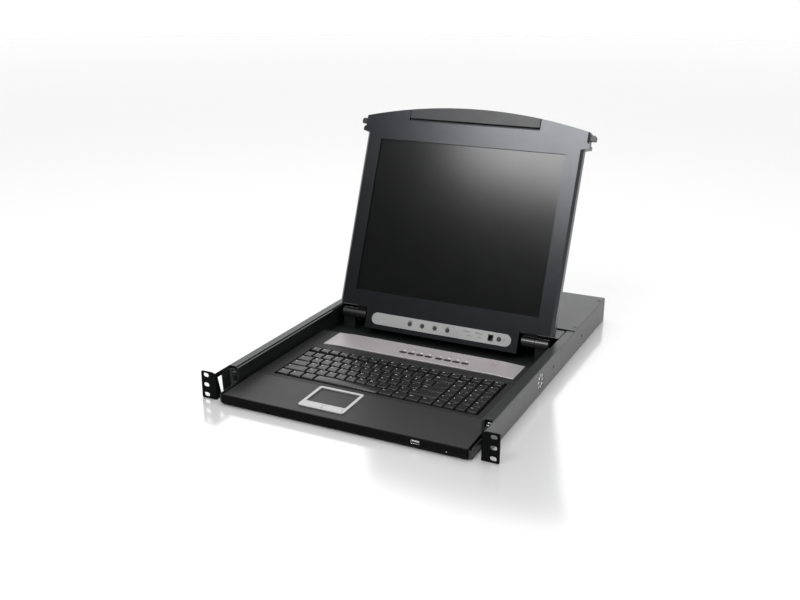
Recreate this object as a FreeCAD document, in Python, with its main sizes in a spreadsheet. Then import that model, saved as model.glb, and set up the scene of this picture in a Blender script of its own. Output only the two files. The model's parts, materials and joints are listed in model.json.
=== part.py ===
"""Rackmount LCD console drawer, one rack unit tall.

Drawing frame: X runs to the right, Y runs back from the seat of the rack ears, Z runs up from
the underside of the chassis. Every sub-part is drawn in that frame and then lowered by half of
the ear's height, so the origin of the finished part is the centre of the rack-hole pattern.
Sub-parts of the display are drawn standing upright on the hinge axis and then leaned back.
All sizes are in millimetres.
"""
import FreeCAD, Part
import os
import re

import Sketcher

os.makedirs("parts", exist_ok=True)
doc = FreeCAD.newDocument("ConsoleDrawer")
sheet = doc.addObject("Spreadsheet::Sheet", "Sizes")
aliases = []


def size(name, value):
    """Write one driving dimension, or a formula of earlier ones, in the sheet."""
    row = len(aliases) + 1
    sheet.set("A%d" % row, name)
    sheet.set("B%d" % row, str(value))
    sheet.setAlias("B%d" % row, name)
    aliases.append(name)


# Rack interface
size("unit_tall", 43.7)         # ear height, one rack unit less its clearance
size("ear_reach", 22.8)         # ear width beyond the chassis side
size("ear_plate", 2.0)          # ear sheet
size("ear_return", 15.0)        # depth of the ear's folded return
size("ear_corner", 6.0)         # cut at the inner top corner of the ear
size("slot_inset", 8.75)        # ear edge to the slot's centre
size("slot_rise", 31.75)        # lowest slot to highest slot
size("slot_long", 10.0)
size("slot_wide", 6.8)

# Chassis
size("shell_wide", 437.0)
size("shell_tall", 42.0)
size("shell_deep", 608.0)
size("shell_sheet", 1.5)
size("top_flange", 13.5)
size("foot_flange", 22.0)
size("bend", 1.2)               # outer radius of a folded edge
size("rail_front", 38.0)        # where the flanges and the slides begin
size("vent_place", 238.0)       # centre of the round vent, back from the ears
size("vent_size", 13.5)         # outer radius of the round vent
size("vent_hub", 4.5)           # solid hub of the vent
size("petal_wide", 6.6)
size("window_front", 4.0)       # latch window at its top edge
size("window_back", 17.5)
size("window_top", 35.0)
size("window_foot", 3.5)
size("window_lean_front", 8.0)  # how far each edge leans back towards the foot
size("window_lean_back", 2.8)

# Rear box
size("box_front", 416.0)
size("box_sheet", 1.2)
size("box_fold", 20.0)          # folded edge under the cover
size("inlet_place", -178.0)     # centre of the power inlet
size("inlet_wide", 27.0)
size("inlet_tall", 20.0)
size("rocker_place", -140.0)
size("rocker_wide", 21.0)
size("rocker_tall", 15.0)
size("port_first", -76.0)       # centre of the first computer port
size("port_pitch", 33.0)
size("port_count", 8)
size("port_wide", 17.0)
size("port_tall", 8.4)
size("port_reach", 6.0)         # connector shell beyond the rear panel
size("port_level", 21.0)

# Ball slides
size("slide_long", 380.0)
size("slide_thick", 12.8)
size("slide_tall", 32.0)
size("slide_sheet", 1.2)
size("slide_level", 21.0)
size("ball", 3.0)
size("ball_gap", 0.3)

# Drawer
size("tray_low", 2.0)
size("tray_sheet", 1.2)
size("tray_front", -8.0)
size("tray_back", 403.0)
size("tray_tall", 38.5)
size("wall_front", 36.0)        # where the tall side walls begin
size("wall_low", 16.0)          # height of the side walls in front of that
size("hem", 2.8)
size("top_gap", 5.7)            # tray wall to the keyboard housing
size("trim_deep", 4.0)
size("palm_front_level", 15.6)
size("palm_back_level", 18.0)
size("palm_back", 80.0)
size("housing_wall", 2.4)
size("deck_back", 412.0)
size("deck_front", 372.5)
size("usb_place", 122.0)
size("usb_wide", 13.2)
size("usb_tall", 5.8)
size("usb_level", 10.2)
size("usb_deep", 14.0)
size("lamp_place", 169.0)

# Keyboard
size("frame_back", 292.0)
size("frame_level", 17.6)
size("key_left", -170.0)
size("key_front", 92.0)
size("key_pitch", 17.95)
size("row_pitch", 20.0)
size("row_break", 5.0)
size("key_gap", 1.0)
size("key_foot", 13.0)
size("key_tall", 6.4)
size("key_slope", 14.0)         # draft of the key's sides, degrees
size("stem", 5.0)
size("stem_gap", 0.4)
size("plate_level", 9.0)
size("plate_sheet", 1.4)
size("key_margin", 2.0)

# Control strip
size("strip_left", -165.0)
size("strip_right", 175.0)
size("strip_front", 234.0)
size("strip_back", 290.0)
size("strip_level", 19.8)
size("strip_ramp", 34.0)
size("button_first", -24.9)
size("button_pitch", 15.2)
size("cluster_step", 64.6)
size("button_row", 254.0)
size("button_wide", 11.0)
size("button_deep", 5.4)

# Touchpad
size("pad_left", -78.0)
size("pad_right", -2.0)
size("pad_front", 8.0)
size("pad_back", 77.0)
size("pad_rim", 5.0)
size("pad_bar", 17.0)
size("pad_raise", 1.6)
size("pad_plug", 2.0)           # how far the flange overlaps the opening

# Display
size("axis_back", 357.9)
size("axis_level", 33.0)
size("lean", 21.4)
size("face_gap", 12.0)          # screen face in front of the hinge axis
size("rear_gap", 7.0)           # back cover behind the hinge axis
size("split_gap", 2.0)          # joint of bezel and cover, in front of the axis
size("side_gap", 5.2)           # display side to the tray wall's outer face
size("wing_reach", 7.0)         # top corners beyond the display side
size("lobe_reach", 2.4)         # hook lobe beyond the wing
size("lobe_tall", 6.0)
size("display_foot", 22.4)      # lower edge below the hinge axis
size("display_top", 379.2)      # crown of the arched top above the hinge axis
size("crown_rise", 24.4)
size("wing_foot", 326.0)
size("notch_half", 142.0)       # hinge notches begin here
size("notch_top", 14.0)
size("bezel_wall", 4.2)
size("bezel_plate", 2.5)
size("cover_wall", 2.0)
size("side_bevel", 4.5)
size("wing_bevel", 3.0)
size("grip_clear", 0.6)
size("grip_lip", 4.5)           # undercut along the lower edge of the grip
size("view_wide", 340.8)        # screen opening
size("view_tall", 272.7)
size("view_centre", 178.85)
size("glass_margin", 4.0)
size("glass_thick", 1.5)
size("module_wide", 358.5)
size("module_tall", 296.5)
size("module_thick", 10.5)
size("grip_half", 120.0)
size("grip_foot", 351.6)
size("grip_proud", 0.6)
size("osd_half", 130.5)
size("osd_level", -3.9)
size("osd_tall", 21.0)
size("osd_thick", 1.3)
size("osd_recess", 0.8)
size("osd_first", -56.0)
size("osd_pitch", 23.7)
size("osd_button", 2.7)         # button radius
size("osd_reach", 1.2)
size("button_clear", 0.3)
size("power_place", 109.0)
size("socket_place", 94.0)
size("socket_wide", 9.4)
size("socket_tall", 11.0)
size("latch_level", 341.2)
size("latch_play", 3.8)         # from the top of the latch to the shoulder of the bezel
size("latch_thick", 8.4)
size("latch_reach", 10.0)
size("latch_long", 30.0)
size("latch_clear", 0.4)

# Hinges
size("barrel", 8.5)
size("hinge_out", 192.0)
size("hinge_in", 146.0)
size("knuckle_gap", 0.3)
size("pin", 3.0)
size("pin_clear", 0.05)
size("leaf_sheet", 2.2)
size("leaf_tall", 70.0)
size("leg", 8.0)
size("hinge_foot", 32.0)

# Screws
size("screw_head", 3.0)
size("screw_thick", 0.8)

# Worked out from the sizes above
size("shell_half", "=shell_wide / 2")
size("web_half", "=shell_half - shell_sheet")
size("tray_half", "=web_half - slide_thick")
size("top_half", "=tray_half - top_gap")
size("ear_half", "=shell_half + ear_reach")
size("display_half", "=tray_half - side_gap")
size("wing_half", "=display_half + wing_reach")
size("lobe_half", "=wing_half + lobe_reach")
size("crown", "=(wing_half * wing_half + crown_rise * crown_rise) / (2 * crown_rise)")
size("palm_slope", "=(palm_back_level - palm_front_level) / (palm_back - tray_front)")
size("floor_level", "=tray_low + tray_sheet")
size("slide_end", "=rail_front + slide_long")
size("knuckle", "=(hinge_out - hinge_in - knuckle_gap) / 2")
size("latch_tall", "=display_top - crown_rise - latch_level - latch_play")
size("key_right", "=key_left + 19 * key_pitch")
size("key_back", "=key_front + 5.8 * row_pitch + row_break")
doc.recompute()


def link(text):
    """Put the sheet's name in front of every alias in an expression."""
    def prefix(word):
        return "Sizes." + word.group(0) if word.group(0) in aliases else word.group(0)
    return re.sub(r"[a-z_]+", prefix, text)


def number(text):
    """Value of an expression of sheet aliases."""
    return float(sheet.evalExpression(link(text)))


def both(side, low, high):
    """Span from low to high on the right side, or its mirror image on the left side."""
    return (low, high) if side > 0 else ("-(%s)" % high, "-(%s)" % low)


def new_body(label):
    """A body drawn in the chassis frame and lowered to the centre of the rack holes."""
    body = doc.addObject("PartDesign::Body", label)
    body.Label = label
    body.setExpression("Placement.Base.z", link("-unit_tall / 2"))
    return body


def new_display_body(label):
    """A body drawn upright on the hinge axis, leaned back and put on that axis."""
    body = doc.addObject("PartDesign::Body", label)
    body.Label = label
    turn = FreeCAD.Rotation(FreeCAD.Vector(-1, 0, 0), number("lean"))
    body.Placement = FreeCAD.Placement(FreeCAD.Vector(0, 0, 0), turn)
    body.setExpression("Placement.Rotation.Angle", link("lean"))
    body.setExpression("Placement.Base.y", link("axis_back"))
    body.setExpression("Placement.Base.z", link("axis_level - unit_tall / 2"))
    return body


def polygon(points, arcs=None):
    """Closed outline through bound points; arcs gives (radius, turn) for some of its sides."""
    def draw(sketch):
        arc_of = arcs or {}
        spots = [FreeCAD.Vector(number(across), number(up), 0) for across, up in points]
        count = len(points)
        sides = []
        for index in range(count):
            start, finish = spots[index], spots[(index + 1) % count]
            if index in arc_of:
                radius, turn = number(arc_of[index][0]), arc_of[index][1]
                chord = finish - start
                middle = (start + finish) * 0.5
                normal = FreeCAD.Vector(-chord.y, chord.x, 0).normalize()
                rise = (radius * radius - chord.Length * chord.Length / 4) ** 0.5
                centre = middle + normal * rise * turn
                circle = Part.Circle(centre, FreeCAD.Vector(0, 0, 1), radius)
                first, last = (start, finish) if turn > 0 else (finish, start)
                shape = Part.ArcOfCircle(circle, circle.parameter(first), circle.parameter(last))
                geometry = sketch.addGeometry(shape)
                sides.append((geometry, 1, 2) if turn > 0 else (geometry, 2, 1))
                bound = sketch.addConstraint(Sketcher.Constraint("Radius", geometry, radius))
                sketch.setExpression("Constraints[%d]" % bound, link(arc_of[index][0]))
            else:
                geometry = sketch.addGeometry(Part.LineSegment(start, finish))
                sides.append((geometry, 1, 2))
        for index in range(count):
            geometry, head, tail = sides[index]
            following = sides[(index + 1) % count]
            sketch.addConstraint(
                Sketcher.Constraint("Coincident", geometry, tail, following[0], following[1]))
            for axis, value, text in (("DistanceX", spots[index].x, points[index][0]),
                                      ("DistanceY", spots[index].y, points[index][1])):
                bound = sketch.addConstraint(Sketcher.Constraint(axis, -1, 1, geometry, head, value))
                sketch.setExpression("Constraints[%d]" % bound, link(text))
    return draw


def rectangle(left, right, low, high):
    """Rectangle between four bound coordinates."""
    return polygon([(left, low), (right, low), (right, high), (left, high)])


def middle_box(across, up, wide, tall):
    """Rectangle about a bound centre."""
    return rectangle("%s - (%s) / 2" % (across, wide), "%s + (%s) / 2" % (across, wide),
                     "%s - (%s) / 2" % (up, tall), "%s + (%s) / 2" % (up, tall))


def slot(across, up, long, wide):
    """Stadium about a bound centre, with its length across."""
    left = "%s - (%s - (%s)) / 2" % (across, long, wide)
    right = "%s + (%s - (%s)) / 2" % (across, long, wide)
    low = "%s - (%s) / 2" % (up, wide)
    high = "%s + (%s) / 2" % (up, wide)
    end = ("(%s) / 2 + 0.0001" % wide, 1)
    return polygon([(left, low), (right, low), (right, high), (left, high)], {1: end, 3: end})


def circle(across, up, radius):
    """Circle about a bound centre."""
    def draw(sketch):
        centre = FreeCAD.Vector(number(across), number(up), 0)
        geometry = sketch.addGeometry(
            Part.Circle(centre, FreeCAD.Vector(0, 0, 1), number(radius)))
        for kind, arguments, text in (("Radius", (geometry,), radius),
                                      ("DistanceX", (-1, 1, geometry, 3), across),
                                      ("DistanceY", (-1, 1, geometry, 3), up)):
            bound = sketch.addConstraint(Sketcher.Constraint(kind, *arguments, number(text)))
            sketch.setExpression("Constraints[%d]" % bound, link(text))
    return draw


def extrude(body, plane, start, finish, loops, cut=False, taper=None, centre=None):
    """Pad, or pocket, from one bound coordinate to a higher one along the plane's normal."""
    sketch = body.newObject("Sketcher::SketchObject", body.Label + "_sketch")
    support = [item for item in body.Origin.OriginFeatures if item.Role == plane + "_Plane"][0]
    sketch.AttachmentSupport = [(support, "")]
    sketch.MapMode = "FlatFace"
    flip = "-1 * " if plane == "XZ" else ""
    sketch.setExpression("AttachmentOffset.Base.z", link("%s(%s)" % (flip, start)))
    if centre:
        sketch.setExpression("AttachmentOffset.Base.x", link(centre[0]))
        sketch.setExpression("AttachmentOffset.Base.y", link(centre[1]))
    for draw in loops:
        draw(sketch)
    before = body.Shape.Volume if cut else 0
    feature = body.newObject("PartDesign::" + ("Pocket" if cut else "Pad"), body.Label + "_form")
    feature.Profile = sketch
    feature.setExpression("Length", link("(%s) - (%s)" % (finish, start)))
    feature.Reversed = (plane == "XZ") != cut
    if taper:
        feature.setExpression("TaperAngle", link(taper))
    doc.recompute()
    if cut and not body.Shape.Volume < before - 0.001:
        raise ValueError("a pocket of %s removes nothing" % body.Label)
    return feature


def edge_runs(edge, axis):
    """True for a straight edge along one axis, given as 0, 1 or 2."""
    if len(edge.Vertexes) < 2 or not isinstance(edge.Curve, Part.Line):
        return False
    step = edge.Vertexes[1].Point - edge.Vertexes[0].Point
    return abs(abs(step[axis]) - step.Length) < 0.001


def edge_at(edge, axis, text):
    """True where the middle of an edge lies at a bound coordinate on one axis."""
    return abs(edge.CenterOfMass[axis] - number(text)) < 0.01


def soften(body, chosen, radius, chamfer=None):
    """Fillet, or chamfer when a second distance is given, on the chosen edges of a body."""
    tip = body.Tip
    names = ["Edge%d" % (index + 1) for index, edge in enumerate(tip.Shape.Edges) if chosen(edge)]
    if not names:
        raise ValueError("no edge of %s to soften" % body.Label)
    kind = "Chamfer" if chamfer else "Fillet"
    feature = body.newObject("PartDesign::" + kind, body.Label + "_edge")
    feature.Base = (tip, names)
    if chamfer:
        feature.ChamferType = "Two distances"
        feature.setExpression("Size", link(radius))
        feature.setExpression("Size2", link(chamfer))
    else:
        feature.setExpression("Radius", link(radius))
    doc.recompute()
    return feature


def repeat(body, features, axis, length, count):
    """Linear pattern of the features along one of their sketch's axes."""
    pattern = body.newObject("PartDesign::LinearPattern", body.Label + "_row")
    pattern.Originals = features
    pattern.Direction = (features[0].Profile[0], [axis])
    pattern.setExpression("Length", link(length))
    pattern.Occurrences = count
    body.Tip = pattern
    doc.recompute()
    return pattern


# ---------------------------------------------------------------- chassis

def window(grow):
    """The fin-shaped latch window, seen from the side."""
    return polygon([
        ("window_front - (%s)" % grow, "window_top + (%s)" % grow),
        ("window_front + window_lean_front - (%s)" % grow, "window_foot - (%s)" % grow),
        ("window_back + window_lean_back + (%s)" % grow, "window_foot - (%s)" % grow),
        ("window_back + (%s)" % grow, "window_top + (%s)" % grow)])


def side_channel(label, side):
    """Folded side of the chassis: a C channel behind the latch window, with a round vent."""
    body = new_body(label)
    turn = "%d * " % side
    extrude(body, "XZ", "rail_front", "shell_deep", [polygon([
        (turn + "(shell_half - foot_flange)", "0"),
        (turn + "shell_half", "0"),
        (turn + "shell_half", "shell_tall"),
        (turn + "(shell_half - top_flange)", "shell_tall"),
        (turn + "(shell_half - top_flange)", "shell_tall - shell_sheet"),
        (turn + "web_half", "shell_tall - shell_sheet"),
        (turn + "web_half", "shell_sheet"),
        (turn + "(shell_half - foot_flange)", "shell_sheet")])])
    web = both(side, "web_half", "shell_half")
    extrude(body, "XZ", "0", "rail_front", [rectangle(web[0], web[1], "0", "shell_tall")])
    extrude(body, "YZ", web[0], web[1], [window("0")], cut=True)
    for level in ("shell_tall", "0"):
        soften(body, lambda edge: edge_runs(edge, 1) and edge_at(edge, 2, level)
               and edge_at(edge, 0, turn + "shell_half"), "bend")
    petal = extrude(body, "YZ", web[0], web[1], [polygon([
        ("-petal_wide / 5", "vent_hub"),
        ("petal_wide / 5", "vent_hub"),
        ("petal_wide / 2", "vent_size - 2"),
        ("0", "vent_size"),
        ("-petal_wide / 2", "vent_size - 2")])], cut=True, centre=("vent_place", "shell_tall / 2"))
    ring = body.newObject("PartDesign::PolarPattern", label + "_ring")
    ring.Originals = [petal]
    ring.Axis = (petal.Profile[0], ["N_Axis"])
    ring.Angle = 360
    ring.Occurrences = 8
    body.Tip = ring
    doc.recompute()
    return body


def rack_ear(label, side):
    """Angle plate with three rack slots; its return is cut open at the latch window."""
    body = new_body(label)
    turn = "%d * " % side
    slots = [slot(turn + "(ear_half - slot_inset)", "unit_tall / 2 + %d * slot_rise / 2" % step,
                  "slot_long", "slot_wide") for step in (-1, 0, 1)]
    extrude(body, "XZ", "-ear_plate", "0", [polygon([
        (turn + "(web_half - ear_plate)", "0"),
        (turn + "ear_half", "0"),
        (turn + "ear_half", "unit_tall"),
        (turn + "(web_half - ear_plate + ear_corner)", "unit_tall"),
        (turn + "(web_half - ear_plate)", "unit_tall - ear_corner / 2")])] + slots)
    back = both(side, "web_half - ear_plate", "web_half")
    extrude(body, "YZ", back[0], back[1],
            [rectangle("0", "ear_return", "shell_sheet", "shell_tall - shell_sheet")])
    extrude(body, "YZ", back[0], back[1], [window("0.4")], cut=True)
    soften(body, lambda edge: edge_runs(edge, 2) and edge_at(edge, 1, "-ear_plate")
           and edge_at(edge, 0, turn + "(web_half - ear_plate)"), "bend")
    soften(body, lambda edge: edge_runs(edge, 1) and edge_at(edge, 0, turn + "ear_half"), "2")
    return body


def rear_floor():
    """Folded floor of the rear box, with the wall that faces the drawer."""
    body = new_body("rear_floor")
    low, high = "-(tray_half)", "tray_half"
    extrude(body, "YZ", low, high, [polygon([
        ("box_front", "shell_sheet"),
        ("shell_deep - shell_sheet", "shell_sheet"),
        ("shell_deep - shell_sheet", "shell_sheet + box_sheet"),
        ("box_front + box_sheet", "shell_sheet + box_sheet"),
        ("box_front + box_sheet", "shell_tall - box_sheet"),
        ("box_front + box_fold", "shell_tall - box_sheet"),
        ("box_front + box_fold", "shell_tall"),
        ("box_front", "shell_tall")])])
    extrude(body, "XZ", "box_front", "box_front + box_sheet",
            [slot("0", "shell_tall / 2", "120", "14")], cut=True)
    vent = extrude(body, "XY", "shell_sheet", "shell_sheet + box_sheet",
                   [middle_box("-120", "shell_deep - 60", "30", "5")], cut=True)
    repeat(body, [vent], "H_Axis", "240", 5)
    return body


def rear_cover():
    """Lid of the rear box, resting on the chassis flanges, with a folded front lip."""
    body = new_body("rear_cover")
    extrude(body, "XY", "shell_tall", "shell_tall + box_sheet",
            [rectangle("-shell_half", "shell_half", "box_front", "shell_deep")])
    soften(body, lambda edge: edge_runs(edge, 1)
           and edge_at(edge, 2, "shell_tall + box_sheet"), "box_sheet * 0.8")
    return body


def port_across(index):
    """Place of one computer port along the rear panel."""
    return "port_first + %d * port_pitch" % index


def rear_panel():
    """Back wall of the chassis with its connector openings."""
    body = new_body("rear_panel")
    holes = [middle_box("inlet_place", "port_level", "inlet_wide", "inlet_tall"),
             middle_box("rocker_place", "port_level", "rocker_wide", "rocker_tall")]
    for index in range(int(number("port_count"))):
        holes.append(middle_box(port_across(index), "port_level", "port_wide", "port_tall"))
    extrude(body, "XZ", "shell_deep - shell_sheet", "shell_deep", [
        rectangle("-(web_half - 0.1)", "web_half - 0.1",
                  "shell_sheet + box_sheet", "shell_tall - shell_sheet")] + holes)
    return body


def power_inlet():
    """Three-pin mains inlet: flanged shell, open socket and three flat pins."""
    body = new_body("power_inlet")
    extrude(body, "XZ", "shell_deep - 24", "shell_deep",
            [middle_box("inlet_place", "port_level", "inlet_wide - 0.2", "inlet_tall - 0.2")])
    extrude(body, "XZ", "shell_deep", "shell_deep + 2",
            [slot("inlet_place", "port_level", "inlet_wide + 20", "inlet_tall + 4")])
    mouth = [("inlet_place - 12", "port_level - 8"), ("inlet_place + 12", "port_level - 8"),
             ("inlet_place + 12", "port_level + 4"), ("inlet_place + 8", "port_level + 8"),
             ("inlet_place - 8", "port_level + 8"), ("inlet_place - 12", "port_level + 4")]
    extrude(body, "XZ", "shell_deep - 16", "shell_deep + 2", [polygon(mouth)], cut=True)
    extrude(body, "XZ", "shell_deep - 16.5", "shell_deep - 4", [
        middle_box("inlet_place + %d" % step, "port_level + %d" % rise, "1.2", "4")
        for step, rise in ((-7, -2), (7, -2), (0, 2))])
    return body


def power_rocker():
    """Mains switch key, a shallow V in profile, drawn in its on position."""
    body = new_body("power_rocker")
    middle = "shell_deep - shell_sheet"
    extrude(body, "YZ", "rocker_place - rocker_wide / 2 + 1", "rocker_place + rocker_wide / 2 - 1",
            [polygon([
                (middle + " - 6", "port_level - 3"),
                (middle + " + 3.4", "port_level - rocker_tall / 2 + 1.1"),
                (middle + " + 2.2", "port_level"),
                (middle + " + 4.2", "port_level + rocker_tall / 2 - 2.2"),
                (middle + " - 6", "port_level + 3")])])
    return body


def rocker_housing():
    """Frame of the mains switch, snapped into the rear panel."""
    body = new_body("rocker_housing")
    extrude(body, "XZ", "shell_deep - 14", "shell_deep + 1.5",
            [middle_box("rocker_place", "port_level", "rocker_wide - 0.2", "rocker_tall - 0.2"),
             middle_box("rocker_place", "port_level", "rocker_wide - 1.4", "rocker_tall - 1.4")])
    return body


def computer_ports():
    """Row of fifteen-way connectors: D-shaped shells and the flanges behind the panel."""
    body = new_body("computer_ports")
    shells = []
    flanges = []
    for index in range(int(number("port_count"))):
        across = port_across(index)
        corners = [(across + " - port_wide / 2 + 1.8", "port_level - port_tall / 2 + 0.2"),
                   (across + " + port_wide / 2 - 1.8", "port_level - port_tall / 2 + 0.2"),
                   (across + " + port_wide / 2 - 0.3", "port_level + port_tall / 2 - 0.2"),
                   (across + " - port_wide / 2 + 0.3", "port_level + port_tall / 2 - 0.2")]
        shells.append(polygon(corners))
        flanges.append(middle_box(across, "port_level", "port_pitch - 2.5", "12.4"))
    extrude(body, "XZ", "shell_deep - 9", "shell_deep - shell_sheet", flanges)
    extrude(body, "XZ", "shell_deep - shell_sheet", "shell_deep + port_reach - 1", shells)
    return body


def power_supply():
    """Enclosed mains supply standing on the rear floor."""
    body = new_body("power_supply")
    low = "shell_sheet + box_sheet"
    extrude(body, "XY", low, "shell_tall - 8", [rectangle(
        "-(tray_half - 6)", "inlet_place + 62", "box_front + 26", "shell_deep - 40")])
    soften(body, lambda edge: edge_runs(edge, 1) and edge_at(edge, 2, "shell_tall - 8"), "1.5")
    return body


def switch_board():
    """Circuit board behind the computer ports, on four standoffs."""
    body = new_body("switch_board")
    low = "shell_sheet + box_sheet"
    left, right = "inlet_place + 72", "tray_half - 8"
    front, back = "box_front + 30", "shell_deep - 12"
    extrude(body, "XY", low, "port_level - 7.2", [
        middle_box(across, along, "6", "6") for across in (left + " + 8", right + " - 8")
        for along in (front + " + 8", back + " - 8")])
    extrude(body, "XY", "port_level - 7.2", "port_level - 5.6",
            [rectangle(left, right, front, back)])
    extrude(body, "XY", "port_level - 5.6", "port_level + 1", [
        middle_box(across, front + " + 60", "26", "26") for across in ("0", "60", "120")])
    return body


# ---------------------------------------------------------------- ball slides

def slide_member(label, side, depth, back, tall, front, finish, lip, open_in=True):
    """C profile with lipped edges; depth is measured inwards from the chassis web."""
    body = new_body(label)
    turn = "%d * " % side
    root, tip = (depth, back) if open_in else (back, depth)
    step = "slide_sheet" if open_in else "-slide_sheet"

    def place(text, rise):
        return (turn + "(web_half - (%s))" % text, "slide_level + (%s)" % rise)
    half = "(%s) / 2" % tall
    extrude(body, "XZ", front, finish, [polygon([
        place(root, "-" + half),
        place(tip, "-" + half),
        place(tip, "-%s + (%s)" % (half, lip)),
        place("(%s) - (%s)" % (tip, step), "-%s + (%s)" % (half, lip)),
        place("(%s) - (%s)" % (tip, step), "-%s + slide_sheet" % half),
        place("(%s) + (%s)" % (root, step), "-%s + slide_sheet" % half),
        place("(%s) + (%s)" % (root, step), "%s - slide_sheet" % half),
        place("(%s) - (%s)" % (tip, step), "%s - slide_sheet" % half),
        place("(%s) - (%s)" % (tip, step), "%s - (%s)" % (half, lip)),
        place(tip, "%s - (%s)" % (half, lip)),
        place(tip, half),
        place(root, half)])])
    return body


size("race", "=ball + 2 * ball_gap")
size("middle_tall", "=slide_tall - 2 * slide_sheet - 2 * race")
size("inner_tall", "=middle_tall - 2 * slide_sheet - 2 * race")
doc.recompute()


def slide_outer(label, side):
    """Fixed member, on the chassis web."""
    return slide_member(label, side, "0", "slide_thick - 4", "slide_tall",
                        "rail_front", "slide_end", "slide_sheet + 1.4")


def slide_middle(label, side):
    """Intermediate member, which travels half as far as the drawer."""
    return slide_member(label, side, "slide_sheet + 1.6", "slide_thick - 2", "middle_tall",
                        "rail_front", "slide_end", "slide_sheet + 1.2")


def slide_inner(label, side):
    """Drawer member, on the side of the tray."""
    return slide_member(label, side, "slide_thick - 7.4", "slide_thick", "inner_tall",
                        "rail_front", "tray_back", "slide_sheet + 0.01", open_in=False)


def ball_cage(label, side):
    """Ball retainer strips in the races, carried by the intermediate member."""
    body = new_body(label)
    for tall, depth, front, finish in (
            ("slide_tall", "5.6", "slide_end - 180", "slide_end - 6"),
            ("middle_tall", "8.2", "rail_front + 6", "rail_front + 150")):
        for up in (-1, 1):
            level = "slide_level + %d * ((%s) / 2 - slide_sheet - race / 2)" % (up, tall)
            across = "%d * (web_half - %s)" % (side, depth)
            extrude(body, "XZ", front, finish, [middle_box(across, level, "2.6", "ball")])
    return body


# ---------------------------------------------------------------- drawer

def drawer_tray():
    """Folded tray: floor, tall side walls with a hem, low front, back wall with a cable gap."""
    body = new_body("drawer_tray")
    extrude(body, "XY", "tray_low", "tray_low + tray_tall",
            [rectangle("-tray_half", "tray_half", "tray_front", "tray_back")])
    extrude(body, "XY", "floor_level", "tray_low + tray_tall + 1", [rectangle(
        "-(tray_half - tray_sheet)", "tray_half - tray_sheet",
        "tray_front + tray_sheet", "tray_back - tray_sheet")], cut=True)
    extrude(body, "XY", "wall_low", "tray_low + tray_tall + 1", [rectangle(
        "-tray_half - 1", "tray_half + 1", "tray_front - 1", "wall_front")], cut=True)
    extrude(body, "XY", "palm_front_level - housing_wall", "wall_low + 1", [rectangle(
        "-tray_half - 1", "tray_half + 1", "tray_front - 1", "tray_front + 2")], cut=True)
    top = "tray_low + tray_tall"
    for side in (-1, 1):
        inner = both(side, "tray_half - tray_sheet - hem", "tray_half - tray_sheet")
        extrude(body, "XZ", "wall_front", "axis_back - barrel - 20",
                [rectangle(inner[0], inner[1], top + " - tray_sheet", top)])
        extrude(body, "XZ", "wall_front", "wall_front + tray_sheet",
                [rectangle(inner[0], inner[1], "wall_low", top)])
    extrude(body, "XZ", "tray_back - tray_sheet", "tray_back",
            [slot("0", "slide_level + 4", "120", "16")], cut=True)
    extrude(body, "XZ", "tray_front", "tray_front + tray_sheet", [rectangle(
        "usb_place - usb_wide / 2 - 0.6", "usb_place + usb_wide / 2 + 0.6",
        "usb_level - usb_tall / 2 - 0.6", "palm_front_level - housing_wall + 1")], cut=True)
    soften(body, lambda edge: edge_runs(edge, 1) and edge_at(edge, 2, "tray_low")
           and abs(edge.CenterOfMass.x) > number("tray_half") - 0.01, "tray_sheet * 0.9")
    return body


def front_trim():
    """Front bar of the drawer, with the port opening and the lamp hole."""
    body = new_body("front_trim")
    foot = "tray_low + 0.2"
    extrude(body, "YZ", "-(top_half + 0.5)", "top_half + 0.5", [polygon([
        ("tray_front", foot),
        ("tray_front - trim_deep + 1", foot),
        ("tray_front - trim_deep", foot + " + 1.4"),
        ("tray_front - trim_deep", "palm_front_level - 2.2"),
        ("tray_front - trim_deep + 1.6", "palm_front_level"),
        ("tray_front", "palm_front_level")])])
    extrude(body, "XZ", "tray_front - trim_deep - 1", "tray_front", [middle_box(
        "usb_place", "usb_level", "usb_wide + 0.6", "usb_tall + 0.6")], cut=True)
    extrude(body, "XZ", "tray_front - trim_deep - 1", "tray_front",
            [circle("lamp_place", "6.2", "1")], cut=True)
    return body


def usb_port():
    """Metal shell of the front port with its contact tongue."""
    body = new_body("usb_port")
    front = "tray_front - trim_deep + 0.4"
    back = front + " + usb_deep"
    extrude(body, "XZ", front, back, [
        middle_box("usb_place", "usb_level", "usb_wide", "usb_tall"),
        middle_box("usb_place", "usb_level", "usb_wide - 0.8", "usb_tall - 0.8")])
    extrude(body, "XZ", back + " - 0.6", back,
            [middle_box("usb_place", "usb_level", "usb_wide", "usb_tall")])
    extrude(body, "XZ", front + " + 1", back, [middle_box(
        "usb_place", "usb_level + 0.9", "usb_wide - 2.6", "1.8")])
    return body


def palm_line(along):
    """Height of the sloping palm rest at one place."""
    return "(palm_front_level + ((%s) - tray_front) * palm_slope)" % along


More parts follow.
